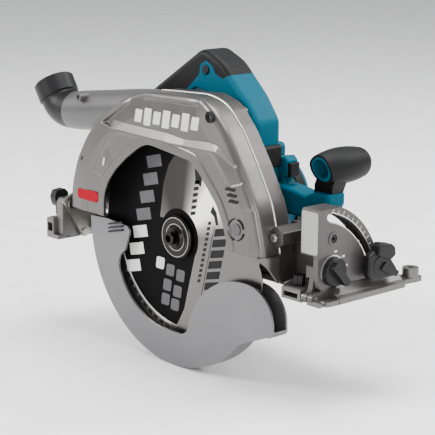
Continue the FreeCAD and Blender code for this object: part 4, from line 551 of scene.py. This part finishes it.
def blade_marks():
    """Black coating, slanted bars and squares printed on the blade's near face; dark dashes
    near the rim as painted shadow of the teeth, and lighter rings on the flange as painted
    highlights.
    """
    def printed(name, outline, layer, material):
        prism(name, outline, "y", BLADE_FACE_Y - 0.04 * layer - 0.04, BLADE_FACE_Y,
              "arbor", SLOT_OF["blade"], material)

    def bar_row(name, start, end, count, width, share, lean):
        (x0, z0), (x1, z1) = start, end
        for k in range(count):
            (xa, za), (xb, zb) = ((x0 + (x1 - x0) * t / count, z0 + (z1 - z0) * t / count)
                                  for t in (k, k + share))
            printed(f"{name}_{k}", [(xa, za), (xa + width, za + lean),
                                    (xb + width, zb + lean), (xb, zb)], 1, "mark_dark")

    field = [(12, 133), (-2, 126.5), (-10, 121), (-18.4, 110.7), (-26.8, 89), (-32.5, 50.5)]
    field += arc(HUB, 31, 148, -34, 30)
    field += [(16.7, -15.4), (8.5, -46)]
    field += arc(HUB, 101.4, 268, 200, 30) + arc(HUB, 124.5, 200, 85, 40)
    printed("blade_field", field, 1, "coating")
    for k in range(7):
        u, v = -42 - 6.1 * k, 110 - 21 * k
        bar = [(u - 11, v - 8), (u + 13, v - 2), (u + 10, v + 11), (u - 14, v + 5)]
        printed(f"blade_bar_{k}", bar, 2, "mark_light" if k > 3 else "mark_grey")
    for k, (u, v) in enumerate([(-32, -2), (-15, -7), (2, -10), (-20, -25), (-3, -29),
                                (-23, -42), (-7, -45)]):
        square = rounded_box(u, v, 13.5, 13.5, 2.5, 2)
        printed(f"blade_square_{k}", square, 2, "mark_light" if k == 0 else "mark_grey")
    bar_row("blade_bold", (58, 53), (36.5, -34), 7, 21, 0.72, 5)
    bar_row("blade_line", (56, 55), (34, -33), 1, 1.0, 1.0, 0)
    bar_row("blade_small", (47, 59), (29, -14), 12, 5, 0.6, 1)
    bar_row("blade_upper", (25, 100), (17.6, 58), 6, 8, 0.6, 2)
    printed("blade_blob", [(25, 114), (37, 106), (35, 95), (26, 99)], 1, "mark_dark")
    printed("blade_dart", [(54, 78), (60, 71), (63, 58), (59, 57), (56, 66), (50, 70)], 1,
            "mark_dark")
    printed("blade_rule", ring_part(HUB, 102.5, 103.6, 200, 262, 40), 1, "mark_light")
    # thin lighter rings on the outer flange: painted highlights on its stepped edges
    for name, radius in (("rim", 21.2), ("collar", 14.3)):
        prism(f"flange_{name}", ring_part(HUB, radius, radius + 0.8, 0, 359, 60), "y", -7.15,
              -7.0, "arbor", SLOT_OF["outer_flange"], "machined_steel")
    # dark dashes near the rim: painted shadow of the teeth
    for k in range(12):
        start = 196 + 5.6 * k
        printed(f"blade_dash_{k}", ring_part(HUB, 106, 110, start, start + 3.6, 4), 1,
                "mark_dark")


def tick_marks():
    """Plain scale ticks on the front quadrant and round the bevel stop knob."""
    face_x = 202.0
    slot = SLOT_OF["bevel_quadrant"]
    axis = (4.0, 6.0)
    for k in range(12):
        degrees = 20 + 5 * k
        a, b = polar(axis, 89.6, degrees), polar(axis, 92.6 if k % 3 else 94.2, degrees)
        side = Vector((-(b[1] - a[1]), b[0] - a[0])).normalized() * 0.35
        outline = [(a[0] - side.x, a[1] - side.y), (a[0] + side.x, a[1] + side.y),
                   (b[0] + side.x, b[1] + side.y), (b[0] - side.x, b[1] - side.y)]
        prism(f"bevel_tick_{k}", outline, "x", face_x, face_x + 0.1, "base", slot,
              "mark_light")
    knob = (28.0, 31.3)
    for k, degrees in enumerate((78, 40, 8, -48)):
        spot = polar(knob, 20.5, degrees)
        prism(f"stop_tick_{k}", rounded_box(*spot, 4.2, 2.0, 0.5), "x", face_x, face_x + 0.1,
              "base", slot, "mark_light")
    # lighter ring round the stop knob: painted highlight
    prism("stop_ring", ring_part(knob, 15.6, 16.8, -60, 200, 40), "x", face_x, face_x + 0.5,
          "base", slot, "bright_edge")
    # lighter lines along both edges of the clamp slot: painted highlight
    slot_r = 84.0
    for name, radius in (("inner", slot_r - 5.3), ("outer", slot_r + 4.4)):
        prism(f"slot_lip_{name}", ring_part(axis, radius, radius + 0.9, 24, 77, 40), "x",
              face_x, face_x + 0.1, "base", slot, "bright_edge")


def quadrant_block():
    """Side of the front quadrant's end block in a lighter copy of the metal: painted light on
    the face turned to the lamps.
    """
    outline = rounded_box(190.2, 72.2, 22.6, 43.5, 2.5)
    prism("block_side", outline, "y", 6.25, 6.6, "base", SLOT_OF["bevel_quadrant"],
          "block_alloy", 0.15)


def motor_side():
    """Ribs and charge lamps on the battery, ring and screws on the motor's end cap."""
    slot = SLOT_OF["battery_case"]
    side_y, back_x = 131.0, -160.0
    frame_line = rounded_box(-99, 71, 104, 50, 6)
    prism("battery_panel", frame_line, "y", side_y, side_y + 0.5, "battery", slot, None, 0.2)
    for k in range(4):
        rib = rounded_box(-99, 56 + 9 * k, 88, 3, 1.4)
        prism(f"battery_rib_{k}", rib, "y", side_y + 0.4, side_y + 1.4, "battery", slot,
              None, 0.3)
    prism("lamp_panel", rounded_box(94, 64, 30, 11, 3), "x", back_x - 0.5, back_x, "battery",
          slot, "mark_grey", 0.2)
    for k in range(4):
        prism(f"lamp_{k}", rounded_box(84.5 + 6.3 * k, 64, 3.4, 3.4, 0.8), "x", back_x - 0.8,
              back_x - 0.4, "battery", slot, "mark_light")
    slot = SLOT_OF["motor_end_cap"]
    cap = (MOTOR_X, MOTOR_Z)
    prism("cap_ring", ring_part(cap, 37.2, 38.6, 0, 359, 60), "y", MOTOR_END_Y - 1,
          MOTOR_END_Y + 0.5, "saw_body", slot, "black_plastic", 0.2)
    for k in range(3):
        spot = polar(cap, 33, 30 + 120 * k)
        prism(f"cap_screw_{k}", arc(spot, 3.0, 0, 345, 20), "y", MOTOR_END_Y - 1,
              MOTOR_END_Y + 0.7, "saw_body", slot, "black_screw", 0.3)


upper_cover()
cover_marks()
motor_side()
quadrant_block()
blade_marks()
tick_marks()


# Studio ---------------------------------------------------------------------------------
def studio():
    world = bpy.data.worlds.new("studio")
    world.use_nodes = True
    world.node_tree.nodes["Background"].inputs["Color"].default_value = (0.97, 0.98, 1.0, 1)
    world.node_tree.nodes["Background"].inputs["Strength"].default_value = 0.6
    bpy.context.scene.world = world
    floor_z = (cad_box[0].z) - 0.0005
    mesh = bpy.data.meshes.new("floor")
    size = 6.0
    mesh.from_pydata([(-size, -size, floor_z), (size, -size, floor_z), (size, size, floor_z),
                      (-size, size, floor_z)], [], [(0, 1, 2, 3)])
    floor = bpy.data.objects.new("floor", mesh)
    bpy.context.scene.collection.objects.link(floor)
    mesh.materials.append(moulded("floor_paint", (0.93, 0.93, 0.93), 0.9, 0.0))


def area_light(name, place, target, size, power, colour=(1, 1, 1)):
    data = bpy.data.lights.new(name, "AREA")
    data.shape = "RECTANGLE"
    data.size, data.size_y = size
    data.energy = power
    data.color = colour
    lamp = bpy.data.objects.new(name, data)
    lamp.location = place
    lamp.rotation_euler = (Vector(target) - Vector(place)).to_track_quat("-Z", "Y").to_euler()
    bpy.context.scene.collection.objects.link(lamp)


def camera():
    """Camera at the viewing angle: 48 degrees round from the blade side, 13 above."""
    data = bpy.data.cameras.new("camera")
    data.lens = 124.2
    data.sensor_width = 36.0
    data.clip_start = 0.05
    cam = bpy.data.objects.new("camera", data)
    place = at(1201.3, -1042.3, 427.5)
    forward = Vector((-0.71882, 0.65680, -0.22784))
    up = Vector((-0.17378, 0.14757, 0.97367))
    right = forward.cross(up)
    turn = Matrix((right, up, -forward)).transposed()
    cam.matrix_world = Matrix.Translation(place) @ turn.to_4x4()
    bpy.context.scene.collection.objects.link(cam)
    bpy.context.scene.camera = cam


studio()
camera()
area_light("key", (-1.35, -1.75, 1.25), (0, -0.05, 0.05), (0.8, 0.8), 62)
area_light("front", (1.9, -2.1, 0.7), (0, -0.05, 0.05), (0.7, 1.1), 30)
area_light("left", (-2.1, -0.6, 0.8), (0, -0.08, 0.05), (0.8, 1.5), 8)
area_light("top", (0.2, 0.2, 2.1), (0, 0, 0.05), (1.6, 1.2), 75)
area_light("right", (2.4, -0.2, 1.0), (0, 0, 0.05), (0.5, 1.4), 22)
area_light("behind", (1.1, 2.0, 1.8), (0, 0, 0.1), (1.4, 1.2), 60)
